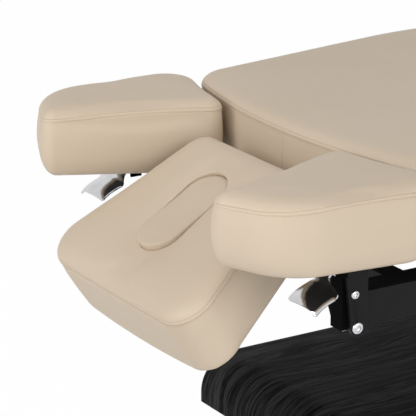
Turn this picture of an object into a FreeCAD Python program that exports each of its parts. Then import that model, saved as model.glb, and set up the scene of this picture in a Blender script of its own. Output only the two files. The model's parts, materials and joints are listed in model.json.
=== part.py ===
import FreeCAD, Part
import math
import operator
import os
from types import SimpleNamespace

import Sketcher

# Spa treatment bed. +X runs from the head end to the foot end, +Y to the left side, +Z up.
# The origin is on the floor under the middle of the plinth.

# Driving sizes in millimetres and degrees: name, value, meaning.
SIZES = (
    ("deck_height", 484.0, "floor to the underside of every level pad"),
    ("pad_rise", 106.0, "underside of a pad to its top seam"),
    ("pad_crown", 13.0, "seam to the top of the crown"),
    ("pad_belly", 61.0, "underside to the widest line of the sides"),
    ("pad_foot_round", 22.0, "rounding along the lower edge"),
    ("pad_seam_draw", 2.5, "how far the seam is drawn in from the widest line"),
    ("pad_top_round", 26.0, "width of the rounded edge above the seam"),
    ("board_thick", 18.0, "plywood boards under the pads"),
    ("board_margin", 34.0, "widest line of a pad to the edge of its board"),
    ("board_play", 0.5, "gap round a board in its pad"),
    ("table_head", 760.0, "origin to the head line, where the headrest starts"),
    ("table_foot", 1080.9, "origin to the foot end of the table"),
    ("table_narrowing", 61.5, "how much narrower each side is at the head end, to the sharp corner"),
    ("table_half", 411.0, "half width along the straight sides"),
    ("table_flare", 444.0, "head end to where the sides turn straight"),
    ("bow_reach", 3.5, "how far the bowed head end reaches beyond the head line"),
    ("bow_radius", 1230.0, "bowed head end of the table"),
    ("bow_angle", 13.3, "slope of the bowed head end beside its corners"),
    ("shoulder_radius", 75.0, "head corners of the table"),
    ("flare_radius", 600.0, "blend from the flare to the straight side"),
    ("foot_radius", 110.0, "foot corners of the table"),
    ("headrest_gap", 6.0, "table to headrest when the headrest is level"),
    ("headrest_length", 323.6, "headrest along the bed"),
    ("headrest_narrowing", 96.0, "how much narrower each side is beside the table"),
    ("headrest_rail_gap", 3.5, "headrest to the inside of a rail"),
    ("headrest_inner_radius", 40.0, "headrest corners beside the table"),
    ("headrest_outer_radius", 55.0, "headrest corners at the head end"),
    ("headrest_drop", 10.0, "how far the level headrest lies below the table"),
    ("headrest_tilt", 35.0, "tilt of the headrest as stored, head end down"),
    ("face_hole_length", 176.0, "face hole along the headrest"),
    ("face_hole_width", 92.0, "face hole across the headrest"),
    ("face_hole_setback", 149.5, "inner edge of the headrest to the middle of the face hole"),
    ("face_ledge", 10.0, "board edge that the plug rests on"),
    ("plug_play", 1.0, "gap round the plug"),
    ("plug_lift", 0.3, "gap between the plug and its ledge"),
    ("plug_board_thick", 10.0, "board under the plug"),
    ("plug_top_round", 25.0, "width of the rounded top edge of the plug"),
    ("hinge_ahead", 1.0, "hinge pin ahead of the table's end"),
    ("hinge_rise", 4.0, "hinge pin above the underside of the pads"),
    ("hinge_pin_radius", 6.0, "headrest hinge pin"),
    ("hinge_boss_radius", 9.5, "bosses round the hinge pin"),
    ("ear_inset", 54.5, "narrow end of the headrest to the inner face of an ear"),
    ("ear_thick", 8.0, "hinge ears"),
    ("washer_thick", 2.0, "friction washers"),
    ("hinge_arm_thick", 6.0, "web of a hinge arm"),
    ("hinge_arm_length", 170.0, "hinge pin to the far end of a hinge arm"),
    ("hinge_arm_depth", 24.0, "depth of a hinge arm below the board"),
    ("hinge_arm_tip", 8.0, "depth of a hinge arm at its far end"),
    ("hinge_arm_step", 2.0, "hinge arm below the pad where it passes the pad's edge"),
    ("arm_flange_width", 40.0, "flange of a hinge arm under the board"),
    ("arm_flange_thick", 5.0, "flange of a hinge arm"),
    ("armrest_inner_gap", 7.0, "head line to the armrest's inner bed corner"),
    ("armrest_outer_reach", 51.5, "armrest's outer bed corner behind the head line"),
    ("armrest_length", 304.0, "head line to the armrest's inner head corner"),
    ("armrest_nose_slant", 60.0, "how much shorter the armrest is along its outer side"),
    ("armrest_bed_gap", 16.5, "headrest to the armrest beside the table"),
    ("armrest_head_gap", 19.5, "headrest to the armrest at the head end"),
    ("armrest_bed_inset", 23.0, "table's side to the armrest's outer bed corner"),
    ("armrest_head_inset", 25.0, "table's side to the armrest's outer head corner"),
    ("armrest_inner_radius", 26.0, "inner bed corner"),
    ("nose_inner_radius", 24.0, "inner head corner"),
    ("nose_outer_radius", 110.0, "outer head corner"),
    ("armrest_outer_radius", 59.0, "outer bed corner"),
    ("armrest_travel", 50.0, "height adjustment of an armrest"),
    ("rail_inset", 173.0, "table's side to the inside of a rail"),
    ("rail_width", 50.0, "chassis rail across"),
    ("rail_height", 56.0, "chassis rail"),
    ("rail_bottom", 354.0, "floor to the underside of the rails"),
    ("rail_wall", 3.0, "wall of the rails, cross-members and bearers"),
    ("rail_overhang", 38.0, "rail beyond the table's head end"),
    ("rail_foot", 860.0, "origin to the foot end of the rails"),
    ("cap_thick", 4.0, "rail end caps"),
    ("plug_depth", 20.0, "end caps and guides inside the rails"),
    ("tube_play", 0.3, "gap round what plugs into a tube"),
    ("cross_width", 40.0, "cross-members and bearers along the bed"),
    ("cross_setback", 28.0, "table's head end to the head cross-member"),
    ("bearer_setback", 270.0, "table's head end to the first bearer"),
    ("bearer_reach", 12.0, "bearer beyond the outside of a rail"),
    ("guide_setback", 24.0, "rail end to the middle of an armrest guide"),
    ("guide_width", 40.0, "armrest guide along the bed"),
    ("guide_depth", 30.0, "armrest guide across the bed"),
    ("guide_gap", 4.0, "top of a guide to the armrest board"),
    ("guide_lip", 8.0, "wall of a guide outside its clamp bar"),
    ("guide_nose_top", 44.0, "rail end to the top of the slanted nose"),
    ("guide_nose_bottom", 28.0, "rail end to the bottom of the slanted nose"),
    ("slide_play", 0.4, "gap between the armrest slide and its guide"),
    ("plate_thick", 8.0, "slide plates"),
    ("plate_width", 44.0, "top of a slide plate"),
    ("plate_end_radius", 15.0, "rounded lower end of a slide plate"),
    ("plate_flange", 44.0, "flange of a slide plate under the armrest board"),
    ("clamp_bar_width", 24.0, "clamp bar along the bed"),
    ("clamp_bar_thick", 11.0, "clamp bar across the bed"),
    ("clamp_bar_end", 8.0, "clamp bar beyond its bolts"),
    ("bolt_radius", 4.0, "shanks of the slide bolts"),
    ("bolt_stagger", 3.0, "each slide bolt from the middle of the guide, the upper one ahead"),
    ("upper_bolt_drop", 71.0, "underside of the pads to the upper slide bolt"),
    ("lower_bolt_drop", 126.0, "underside of the pads to the lower slide bolt"),
    ("upper_head_radius", 7.0, "head of the upper slide bolt"),
    ("lower_head_radius", 9.5, "head of the lower slide bolt"),
    ("bolt_head", 5.0, "height of the slide bolts' heads"),
    ("lever_offset", 17.0, "outside of a rail to the middle of a lever"),
    ("lever_ahead", 42.0, "armrest guide to the lever's pivot"),
    ("lever_drop", 25.0, "underside of the pads to the lever's pivot"),
    ("lever_slope", 25.0, "slope of a lever at rest"),
    ("lever_arm_length", 35.0, "pivot to the paddle"),
    ("lever_arm_width", 20.0, "lever arm across"),
    ("lever_arm_thick", 5.0, "lever arm"),
    ("lever_hub_radius", 7.5, "hub of a lever"),
    ("lever_pin_radius", 4.0, "pivot pin of a lever"),
    ("lever_play", 0.5, "gap beside a lever's hub"),
    ("paddle_width", 73.0, "paddle across"),
    ("paddle_length", 42.0, "paddle along"),
    ("paddle_shift", 14.0, "middle of the lever arm to the middle of its paddle, outwards"),
    ("paddle_thick", 3.5, "paddle"),
    ("paddle_cup", 110.0, "radius of the paddle's hollow underside"),
    ("bracket_thick", 3.0, "lever brackets"),
    ("bracket_length", 32.0, "lever bracket along the bed"),
    ("running_play", 0.05, "radial gap of a pin in what turns on it"),
    ("seat_play", 0.02, "radial gap of a pin or screw in what holds it"),
    ("screw_radius", 3.0, "wood screws"),
    ("screw_head_radius", 6.0, "heads of the wood screws"),
    ("screw_head", 3.5, "height of the wood screws' heads"),
    ("screw_bite", 12.0, "wood screws in a board"),
    ("plinth_length", 1518.0, "plinth along the bed"),
    ("plinth_width", 510.0, "plinth across the bed"),
    ("plinth_height", 114.0, "floor to the top of the plinth"),
    ("plinth_clear", 30.0, "floor to the lower edge of the plinth"),
    ("panel_thick", 18.0, "plinth panels"),
    ("waterfall_radius", 65.0, "rounded ends of the plinth"),
    ("panel_play", 0.3, "gap between curved panels"),
    ("base_rail_offset", 200.0, "middle of the bed to the middle of a base rail"),
    ("base_rail_width", 40.0, "base rails across"),
    ("base_rail_gap", 4.0, "base rail short of the rounded end"),
    ("base_plate_thick", 8.0, "plates under the columns"),
    ("base_plate_reach", 5.0, "plate beyond the base rails"),
    ("foot_setback", 50.0, "end of a base rail to its foot"),
    ("foot_pad_radius", 25.0, "levelling feet"),
    ("foot_pad_height", 14.0, "levelling feet"),
    ("stem_radius", 6.0, "stems of the feet"),
    ("stem_nut_radius", 10.0, "nuts of the feet"),
    ("stem_bite", 25.0, "stem inside the base rail"),
    ("column_offset", 300.0, "origin to the middle of a lift column"),
    ("column_length", 130.0, "outer tube along the bed"),
    ("column_width", 180.0, "outer tube across the bed"),
    ("column_head_gap", 16.0, "outer tube to the plate above it when lowered"),
    ("column_wall", 5.0, "column tubes"),
    ("column_gap", 1.0, "plinth cut-out round a column"),
    ("stage_gap", 3.0, "space between two stages"),
    ("stage_step", 4.0, "how much higher the next stage starts"),
    ("glide_height", 40.0, "glide collars"),
    ("glide_play", 0.3, "gap between a collar and what slides in it"),
    ("top_plate_thick", 8.0, "plates on the columns"),
    ("top_plate_reach", 15.0, "plate beyond the outer tube"),
    ("lift_cylinder_radius", 22.0, "lift cylinders"),
    ("lift_rod_radius", 13.0, "lift rods"),
    ("cylinder_head_gap", 6.0, "lift cylinder to the plate above it when lowered"),
    ("motor_gap", 6.0, "column to its gear motor"),
    ("motor_length", 75.0, "gear motor along the bed"),
    ("motor_width", 90.0, "gear housing across the bed"),
    ("motor_head_gap", 5.0, "gear motor to the underside of the plinth's top"),
    ("motor_can_radius", 22.0, "motor cans"),
    ("motor_can_length", 150.0, "motor cans"),
    ("control_length", 220.0, "control box"),
    ("control_width", 140.0, "control box"),
    ("control_height", 50.0, "control box"),
    ("inlet_x", 560.0, "origin to the mains inlet"),
    ("inlet_length", 48.0, "mains inlet"),
    ("inlet_height", 28.0, "mains inlet"),
    ("inlet_depth", 30.0, "mains inlet behind the panel"),
    ("inlet_rim", 5.0, "flange of the inlet"),
    ("inlet_rim_thick", 2.0, "flange of the inlet"),
    ("inlet_recess", 15.0, "depth of the inlet's socket"),
    ("inlet_wall", 6.0, "wall round the inlet's socket"),
)

SIDES = (("left", 1), ("right", -1))
ENDS = (("head", -1), ("foot", 1))
LEAST_RADIUS = 4.0
FULLEST_SIDE = 0.97
OVERSHOOT = 1.0

doc = FreeCAD.newDocument("SpaTreatmentBed")
sheet = doc.addObject("Spreadsheet::Sheet", "Sizes")
for row, (alias, value, meaning) in enumerate(SIZES, start=1):
    sheet.set("A%d" % row, meaning)
    sheet.set("B%d" % row, str(value))
    sheet.setAlias("B%d" % row, alias)
doc.recompute()

OPERATIONS = {"+": operator.add, "-": operator.sub, "*": operator.mul, "/": operator.truediv}


class Measure:
    """A size that carries its number and the sheet expression that gives it."""

    def __init__(self, number, text):
        self.number = float(number)
        self.text = text

    def __float__(self):
        return self.number

    def __neg__(self):
        return combine(0.0, "-", self)

    def __add__(self, other):
        return combine(self, "+", other)

    def __radd__(self, other):
        return combine(other, "+", self)

    def __sub__(self, other):
        return combine(self, "-", other)

    def __rsub__(self, other):
        return combine(other, "-", self)

    def __mul__(self, other):
        return combine(self, "*", other)

    def __rmul__(self, other):
        return combine(other, "*", self)

    def __truediv__(self, other):
        return combine(self, "/", other)


def measure(value):
    """A plain number becomes a measure with that number as its expression."""
    if isinstance(value, Measure):
        return value
    return Measure(value, "(%r)" % float(value))


def combine(left, sign, right):
    """Two measures joined by an operation, both as numbers and as an expression."""
    left = measure(left)
    right = measure(right)
    number = OPERATIONS[sign](left.number, right.number)
    return Measure(number, "(%s %s %s)" % (left.text, sign, right.text))


d = SimpleNamespace(**{alias: Measure(sheet.get(alias), "Sizes." + alias) for alias, _, _ in SIZES})

# Places that several pieces share.
rail_inner = d.table_half - d.rail_inset
rail_top = d.rail_bottom + d.rail_height
rail_outer = rail_inner + d.rail_width
rail_head = -(d.table_head + d.rail_overhang)
guide_x = rail_head - d.guide_setback
cross_head = -(d.table_head - d.cross_setback)
hinge_x = -(d.table_head + d.hinge_ahead)
hinge_z = d.deck_height + d.hinge_rise
upper_bolt_z = d.deck_height - d.upper_bolt_drop
lower_bolt_z = d.deck_height - d.lower_bolt_drop
lever_x = guide_x - d.lever_ahead
lever_y = rail_outer + d.lever_offset
lever_z = d.deck_height - d.lever_drop
plinth_end = d.plinth_length / 2
plinth_half = d.plinth_width / 2
waterfall_start = plinth_end - d.waterfall_radius
waterfall_z = d.plinth_height - d.waterfall_radius
panel_under = d.plinth_height - d.panel_thick
base_rail_end = waterfall_start - d.base_rail_gap
base_floor = d.plinth_clear + d.base_plate_thick
base_rail_outer = d.base_rail_offset + d.base_rail_width / 2
motor_height = panel_under - d.motor_head_gap - base_floor
inner_top = d.rail_bottom - d.top_plate_thick
column_top = inner_top - d.column_head_gap
cylinder_height = inner_top - d.cylinder_head_gap - base_floor
headrest_outer_half = rail_inner - d.headrest_rail_gap
headrest_inner_half = headrest_outer_half - d.headrest_narrowing
ear_setback = headrest_inner_half - d.ear_inset

nodes = []


def bind(thing, path, value):
    """Ties a property to the sheet."""
    thing.setExpression(path, measure(value).text)


def keep(thing, label):
    """Marks a document object as a sub-part with its own name."""
    thing.Label = label
    nodes.append(thing)
    return thing


def box(name, x, y, z):
    """A block between three pairs of limits, each pair in rising order."""
    block = doc.addObject("Part::Box", name)
    for extent, axis, (low, high) in zip(("Length", "Width", "Height"), "xyz", (x, y, z)):
        bind(block, extent, measure(high) - low)
        bind(block, "Placement.Base." + axis, low)
    return block


TURNS = {
    "x": FreeCAD.Rotation(FreeCAD.Vector(0, 1, 0), 90),
    "y": FreeCAD.Rotation(FreeCAD.Vector(1, 0, 0), -90),
    "z": FreeCAD.Rotation(),
}


def rod(name, axis, start, radius, length):
    """A round bar that begins at the point start and runs along the positive axis."""
    bar = doc.addObject("Part::Cylinder", name)
    bind(bar, "Radius", radius)
    bind(bar, "Height", length)
    bar.Placement = FreeCAD.Placement(FreeCAD.Vector(), TURNS[axis])
    for letter, place in zip("xyz", start):
        bind(bar, "Placement.Base." + letter, place)
    return bar


def fuse(name, pieces):
    """Several pieces made into one."""
    joined = doc.addObject("Part::MultiFuse", name)
    joined.Shapes = pieces
    return joined


def cut(name, base, tools):
    """A piece with others taken away from it."""
    result = doc.addObject("Part::Cut", name)
    result.Base = base
    result.Tool = tools[0] if len(tools) == 1 else fuse(name + "_cuts", tools)
    return result


def common(name, first, second):
    """The space that two pieces share."""
    result = doc.addObject("Part::Common", name)
    result.Base = first
    result.Tool = second
    return result


def group(name, pieces):
    """Separate solids that share one node."""
    gathered = doc.addObject("Part::Compound", name)
    gathered.Links = pieces
    return gathered


def across(side, low, high):
    """Limits along Y, given from the middle of the bed outwards, on either side."""
    return (low, high) if side > 0 else (-measure(high), -measure(low))


def about(middle, width):
    """Limits that lie evenly about a middle."""
    return (measure(middle) - measure(width) / 2, measure(middle) + measure(width) / 2)


def tube(name, axis, x, y, z, wall):
    """A rectangular tube along an axis, open at both ends."""
    limits = {"x": x, "y": y, "z": z}
    bore = {}
    for letter, (low, high) in limits.items():
        inwards = -OVERSHOOT if letter == axis else wall
        bore[letter] = (low + inwards, high - inwards)
    return cut(name, box(name + "_body", x, y, z), [box(name + "_bore", *bore.values())])


def prism(name, outline, y):
    """A plate whose outline of (x, z) points is padded between two limits along Y."""
    body = doc.addObject("PartDesign::Body", name)
    plane = [item for item in body.Origin.OriginFeatures if item.Role == "XZ_Plane"][0]
    sketch = body.newObject("Sketcher::SketchObject", name + "_outline")
    sketch.AttachmentSupport = (plane, [""])
    sketch.MapMode = "FlatFace"
    bind(sketch, "AttachmentOffset.Base.z", -measure(y[1]))
    corners = [FreeCAD.Vector(float(x), float(z), 0) for x, z in outline]
    count = len(corners)
    for index, corner in enumerate(corners):
        sketch.addGeometry(Part.LineSegment(corner, corners[(index + 1) % count]))
    for index in range(count):
        sketch.addConstraint(Sketcher.Constraint("Coincident", index, 2, (index + 1) % count, 1))
    for index, corner in enumerate(outline):
        for direction, place in zip(("DistanceX", "DistanceY"), corner):
            limit = Sketcher.Constraint(direction, -1, 1, index, 1, float(place))
            number = sketch.addConstraint(limit)
            bind(sketch, "Constraints[%d]" % number, place)
    pad = body.newObject("PartDesign::Pad", name + "_pad")
    pad.Profile = sketch
    bind(pad, "Length", measure(y[1]) - y[0])
    return body


def place_at(thing, x, y, z, drop_angle):
    """Puts a piece drawn about a pivot at that pivot, with its head side turned down."""
    turn = FreeCAD.Rotation(FreeCAD.Vector(0, -1, 0), float(drop_angle))
    thing.Placement = FreeCAD.Placement(FreeCAD.Vector(float(x), float(y), float(z)), turn)
    for letter, place in zip("xyz", (x, y, z)):
        bind(thing, "Placement.Base." + letter, place)
    thing.setExpression("Placement.Rotation.Angle", "%s * 1 deg" % measure(drop_angle).text)
    return thing


def tilted(thing):
    """Puts a piece drawn about the headrest's hinge at the hinge, tilted as stored."""
    return place_at(thing, hinge_x, 0.0, hinge_z, d.headrest_tilt)


# Cushions: outlines of straight sides and corner arcs, lofted through several heights.

def inset_corners(corners, amount):
    """Corners of a convex outline, run anticlockwise, after each side moves inwards."""
    moved = []
    count = len(corners)
    for index in range(count):
        before, here, after = corners[index - 1], corners[index], corners[(index + 1) % count]
        first = (here[0] - before[0], here[1] - before[1])
        second = (after[0] - here[0], after[1] - here[1])
        first_length = math.hypot(*first)
        second_length = math.hypot(*second)
        normal_a = (-first[1] / first_length, first[0] / first_length)
        normal_b = (-second[1] / second_length, second[0] / second_length)
        share = 1 + normal_a[0] * normal_b[0] + normal_a[1] * normal_b[1]
        moved.append((here[0] + amount * (normal_a[0] + normal_b[0]) / share,
                      here[1] + amount * (normal_a[1] + normal_b[1]) / share))
    return moved


def fitting_radii(corners, radii):
    """The corner radii, made smaller where two arcs would not fit on the side between them."""
    count = len(corners)
    points = [FreeCAD.Vector(x, y, 0) for x, y in corners]
    reaches = []
    for index in range(count):
        back, ahead = points[index - 1] - points[index], points[(index + 1) % count] - points[index]
        reaches.append(radii[index] / math.tan(back.getAngle(ahead) / 2))
    shares = [1.0] * count
    for index in range(count):
        room = FULLEST_SIDE * (points[index] - points[index - 1]).Length
        share = min(1.0, room / (reaches[index] + reaches[index - 1]))
        shares[index] = min(shares[index], share)
        shares[index - 1] = min(shares[index - 1], share)
    return [radius * share for radius, share in zip(radii, shares)]


def rounded_wire(corners, radii, height):
    """A closed wire of straight sides and tangent corner arcs at one height."""
    arcs = []
    count = len(corners)
    for index, radius in enumerate(fitting_radii(corners, radii)):
        corner = FreeCAD.Vector(*corners[index], height)
        back = (FreeCAD.Vector(*corners[index - 1], height) - corner).normalize()
        ahead = (FreeCAD.Vector(*corners[(index + 1) % count], height) - corner).normalize()
        half_angle = back.getAngle(ahead) / 2
        bisector = (back + ahead).normalize()
        reach = radius / math.tan(half_angle)
        middle = corner + bisector * (radius / math.sin(half_angle) - radius)
        arcs.append((corner + back * reach, middle, corner + ahead * reach))
    edges = []
    for index, (start, middle, end) in enumerate(arcs):
        edges.append(Part.LineSegment(arcs[index - 1][2], start).toShape())
        edges.append(Part.Arc(start, middle, end).toShape())
    return Part.Wire(edges)


def outline_at(corners, radii, height, inset):
    """The outline drawn in by an inset, with its corner radii drawn in as much."""
    drawn_radii = [max(radius - inset, LEAST_RADIUS) for radius in radii]
    return rounded_wire(inset_corners(corners, inset), drawn_radii, height)


def slab(corners, radii, inset, low, high):
    """A flat board of the outline, between two heights."""
    face = Part.Face(outline_at(corners, radii, low, inset))
    return face.extrude(FreeCAD.Vector(0, 0, high - low))


def pad_sections():
    """Heights above the underside, each with how far the sides are drawn in there."""
    rise = float(d.pad_rise)
    crown = float(d.pad_crown)
    foot = float(d.pad_foot_round)
    draw = float(d.pad_seam_draw)
    top = float(d.pad_top_round)
    return (
        (0.0, foot),
        (0.36 * foot, 0.5 * foot),
        (0.9 * foot, 0.18 * foot),
        (1.6 * foot, 0.05 * foot),
        (float(d.pad_belly), 0.0),
        (rise - 0.6 * crown, 0.6 * draw),
        (rise, draw),
        (rise + 0.54 * crown, 0.42 * top),
        (rise + 0.85 * crown, top),
        (rise + crown, 2.3 * top),
    )


def cushion(corners, radii, underside):
    """A crowned pad with drawn-in sides and a pocket in its underside for its board."""
    wires = [outline_at(corners, radii, underside + height, inset) for height, inset in pad_sections()]
    body = Part.makeLoft(wires, True, True)
    margin = float(d.board_margin - d.board_play)
    pocket = slab(corners, radii, margin, underside - OVERSHOOT, underside + float(d.board_thick))
    return body.cut(pocket)


def shaped(name, shape):
    """A document object that holds a shape worked out from the sheet."""
    thing = doc.addObject("Part::Feature", name)
    thing.Shape = shape
    return thing


def screw_hole(x, y, low, high):
    """A blind hole in a board for a wood screw."""
    radius = float(d.screw_radius + d.seat_play)
    return Part.makeCylinder(radius, high - low, FreeCAD.Vector(x, y, low))


def screw(name, x, y, seat, through):
    """A wood screw that points up: its head under the seat, its shank through into a board."""
    head = rod(name + "_head", "z", (x, y, measure(seat) - d.screw_head), d.screw_head_radius, d.screw_head)
    shank = rod(name + "_shank", "z", (x, y, seat), d.screw_radius, measure(through) + d.screw_bite)
    return fuse(name, [head, shank])


# Plinth and base

def column_x(end):
    """Middle of the head or the foot column."""
    return end * d.column_offset


def make_plinth():
    """Top panel with column cut-outs, two waterfall ends and two side panels."""
    top = box("plinth_panel", (-waterfall_start, waterfall_start), (-plinth_half, plinth_half),
              (panel_under, d.plinth_height))
    holes = []
    for end_name, end in ENDS:
        holes.append(box("plinth_hole_" + end_name,
                         about(column_x(end), d.column_length + 2 * d.column_gap),
                         about(0.0, d.column_width + 2 * d.column_gap),
                         (panel_under - OVERSHOOT, d.plinth_height + OVERSHOOT)))
    keep(cut("plinth_top", top, holes), "plinth_top")
    for end_name, end in ENDS:
        make_waterfall(end_name, end)
    for side_name, side in SIDES:
        make_side_panel(side_name, side)


def make_waterfall(end_name, end):
    """A panel bent through a quarter turn, then straight down to the plinth's lower edge."""
    name = "plinth_nose_" + end_name
    start = (end * waterfall_start, -plinth_half, waterfall_z)
    outer = rod(name + "_outer", "y", start, d.waterfall_radius, d.plinth_width)
    inner = rod(name + "_inner", "y", start, d.waterfall_radius - d.panel_thick, d.plinth_width)
    quarter = box(name + "_quarter", across(end, waterfall_start, plinth_end),
                  (-plinth_half, plinth_half), (waterfall_z, d.plinth_height))
    bend = common(name + "_bend", cut(name + "_ring", outer, [inner]), quarter)
    drop = box(name + "_drop", across(end, plinth_end - d.panel_thick, plinth_end),
               (-plinth_half, plinth_half), (d.plinth_clear, waterfall_z))
    keep(fuse(name, [bend, drop]), name)


def make_side_panel(side_name, side):
    """A side panel whose rounded upper corners fit under the waterfall ends."""
    name = "plinth_side_" + side_name
    y = across(side, plinth_half - d.panel_thick, plinth_half)
    corner = d.waterfall_radius - d.panel_thick - d.panel_play
    reach = waterfall_start + corner
    pieces = [box(name + "_middle", (-waterfall_start, waterfall_start), y, (d.plinth_clear, panel_under)),
              box(name + "_low", (-reach, reach), y, (d.plinth_clear, waterfall_z))]
    for end_name, end in ENDS:
        pieces.append(rod(name + "_corner_" + end_name, "y",
                          (end * waterfall_start, y[0], waterfall_z), corner, d.panel_thick))
    whole = fuse(name + "_whole", pieces)
    limits = box(name + "_limits", (-plinth_end, plinth_end), y, (d.plinth_clear, d.plinth_height))
    panel = common(name + "_panel", whole, limits)
    if side > 0:
        keep(panel, name)
        return
    opening = box(name + "_opening", about(d.inlet_x, d.inlet_length + 2 * d.tube_play),
                  (y[0] - OVERSHOOT, y[1] + OVERSHOOT),
                  about(inlet_z(), d.inlet_height + 2 * d.tube_play))
    keep(cut(name, panel, [opening]), name)


def inlet_z():
    """Middle of the mains inlet, halfway up the side panel."""
    return (d.plinth_clear + panel_under) / 2


def make_inlet():
    """A flanged mains inlet with a socket, set in the right side panel."""
    back = -plinth_half + d.inlet_depth
    body = box("inlet_body", about(d.inlet_x, d.inlet_length), (-plinth_half, back),
               about(inlet_z(), d.inlet_height))
    flange = box("inlet_flange", about(d.inlet_x, d.inlet_length + 2 * d.inlet_rim),
                 (-plinth_half - d.inlet_rim_thick, -plinth_half),
                 about(inlet_z(), d.inlet_height + 2 * d.inlet_rim))
    socket = box("inlet_socket", about(d.inlet_x, d.inlet_length - 2 * d.inlet_wall),
                 (-plinth_half - d.inlet_rim_thick - OVERSHOOT, -plinth_half + d.inlet_recess),
                 about(inlet_z(), d.inlet_height - 2 * d.inlet_wall))
    keep(cut("mains_inlet", fuse("inlet_whole", [body, flange]), [socket]), "mains_inlet")


def foot_places():
    """Middles of the levelling feet: three along each base rail."""
    along = base_rail_end - d.foot_setback
    return [(position * along, side * d.base_rail_offset) for position in (-1, 0, 1) for _, side in SIDES]


def make_base_frame():
    """Two base rails on levelling feet, and the plates that carry the columns."""
    for side_name, side in SIDES:
        name = "base_rail_" + side_name
        rail = tube(name + "_tube", "x", (-base_rail_end, base_rail_end),
                    across(side, base_rail_outer - d.base_rail_width, base_rail_outer),
                    (base_floor, panel_under), d.rail_wall)
        holes = [rod("%s_hole_%d" % (name, index), "z", (x, y, base_floor - OVERSHOOT),
                     d.stem_radius + d.seat_play, d.rail_wall + 2 * OVERSHOOT)
                 for index, (x, y) in enumerate(foot_places()) if float(y) * side > 0]
        keep(cut(name, rail, holes), name)
    plates = []
    motor_end = d.column_length / 2 + d.motor_gap + d.motor_length
    plate_half = base_rail_outer + d.base_plate_reach
    for end_name, end in ENDS:
        x = across(end, d.column_offset - d.column_length / 2 - d.top_plate_reach,
                   d.column_offset + motor_end)
        plates.append(box("base_plate_" + end_name, x, (-plate_half, plate_half),
                          (d.plinth_clear, base_floor)))
    keep(group("column_base_plates", plates), "column_base_plates")
    pads = []
    stems = []
    for index, (x, y) in enumerate(foot_places()):
        pads.append(rod("foot_pad_%d" % index, "z", (x, y, 0.0), d.foot_pad_radius, d.foot_pad_height))
        shank = rod("foot_shank_%d" % index, "z", (x, y, d.foot_pad_height), d.stem_radius,
                    base_floor + d.stem_bite - d.foot_pad_height)
        nut = rod("foot_nut_%d" % index, "z", (x, y, d.plinth_clear), d.stem_nut_radius, d.base_plate_thick)
        stems.append(fuse("foot_stem_%d" % index, [shank, nut]))
    keep(group("foot_pads", pads), "foot_pads")
    keep(group("foot_stems", stems), "foot_stems")


# Lift columns

def stage_size(stage):
    """Length and width outside of the outer (0), middle (1) or inner (2) tube."""
    shrink = 2 * stage * (d.column_wall + d.stage_gap)
    return d.column_length - shrink, d.column_width - shrink


def stage_tube(name, end, stage, low, high):
    """One tube of a telescopic column."""
    length, width = stage_size(stage)
    return tube(name, "z", about(column_x(end), length), about(0.0, width), (low, high), d.column_wall)


def glide_collar(name, end, stage):
    """A collar at the top of a tube that guides the next tube inside it."""
    length, width = stage_size(stage)
    return tube(name, "z", about(column_x(end), length - 2 * d.column_wall),
                about(0.0, width - 2 * d.column_wall),
                (column_top - d.glide_height, column_top), d.stage_gap - d.glide_play)


def make_columns():
    """Two telescopic columns, each with three tubes, two collars, a cylinder and its rod."""
    collars = {0: [], 1: []}
    cylinders = []
    rods = []
    plates = []
    for end_name, end in ENDS:
        outer = "column_outer_" + end_name
        middle = "column_middle_" + end_name
        inner = "column_inner_" + end_name
        keep(stage_tube(outer, end, 0, base_floor, column_top), outer)
        keep(stage_tube(middle, end, 1, base_floor + d.stage_step, column_top), middle)
        keep(stage_tube(inner, end, 2, base_floor + 2 * d.stage_step, inner_top), inner)
        for stage in collars:
            collars[stage].append(glide_collar("collar_%s_%d" % (end_name, stage), end, stage))
        foot = (column_x(end), 0.0, base_floor)
        sleeve = rod("lift_sleeve_" + end_name, "z", foot, d.lift_cylinder_radius, cylinder_height)
        bore = rod("lift_bore_" + end_name, "z", (column_x(end), 0.0, base_floor + d.stage_step),
                   d.lift_rod_radius + d.running_play, cylinder_height)
        cylinders.append(cut("lift_cylinder_" + end_name, sleeve, [bore]))
        rod_foot = base_floor + 2 * d.stage_step
        rods.append(rod("lift_rod_" + end_name, "z", (column_x(end), 0.0, rod_foot),
                        d.lift_rod_radius, inner_top - rod_foot))
        plates.append(box("top_plate_" + end_name,
                          about(column_x(end), d.column_length + 2 * d.top_plate_reach),
                          about(0.0, d.column_width + 2 * d.top_plate_reach), (inner_top, d.rail_bottom)))
    keep(group("outer_glides", collars[0]), "outer_glides")
    keep(group("middle_glides", collars[1]), "middle_glides")
    keep(group("lift_cylinders", cylinders), "lift_cylinders")
    keep(group("lift_rods", rods), "lift_rods")
    keep(group("column_top_plates", plates), "column_top_plates")


def make_drive():
    """A gear motor beside each column and one control box under the plinth's top."""
    motors = []
    for end_name, end in ENDS:
        near = d.column_offset + d.column_length / 2 + d.motor_gap
        x = across(end, near, near + d.motor_length)
        housing = box("gear_housing_" + end_name, x, about(0.0, d.motor_width),
                      (base_floor, base_floor + motor_height))
        can = rod("motor_can_" + end_name, "y",
                  (end * (near + d.motor_length / 2), d.motor_can_length / -2,
                   base_floor + motor_height / 2),
                  d.motor_can_radius, d.motor_can_length)
        motors.append(fuse("lift_motor_" + end_name, [housing, can]))
    keep(group("lift_motors", motors), "lift_motors")
    keep(box("control_box", about(0.0, d.control_length), about(0.0, d.control_width),
             (panel_under - d.control_height, panel_under)), "control_box")


# Chassis

def bearer_places():
    """Middles of the deck bearers, evenly spread from the head to the foot of the rails."""
    first = -(d.table_head - d.bearer_setback) + d.cross_width / 2
    last = d.rail_foot - d.cross_width
    count = 4
    return [first + (last - first) * (index / (count - 1)) for index in range(count)]


def deck_screw_places():
    """Two screws over every bearer, above the inner faces of the rails."""
    return [(x, side * (rail_inner - d.cross_width)) for x in bearer_places() for _, side in SIDES]


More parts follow.
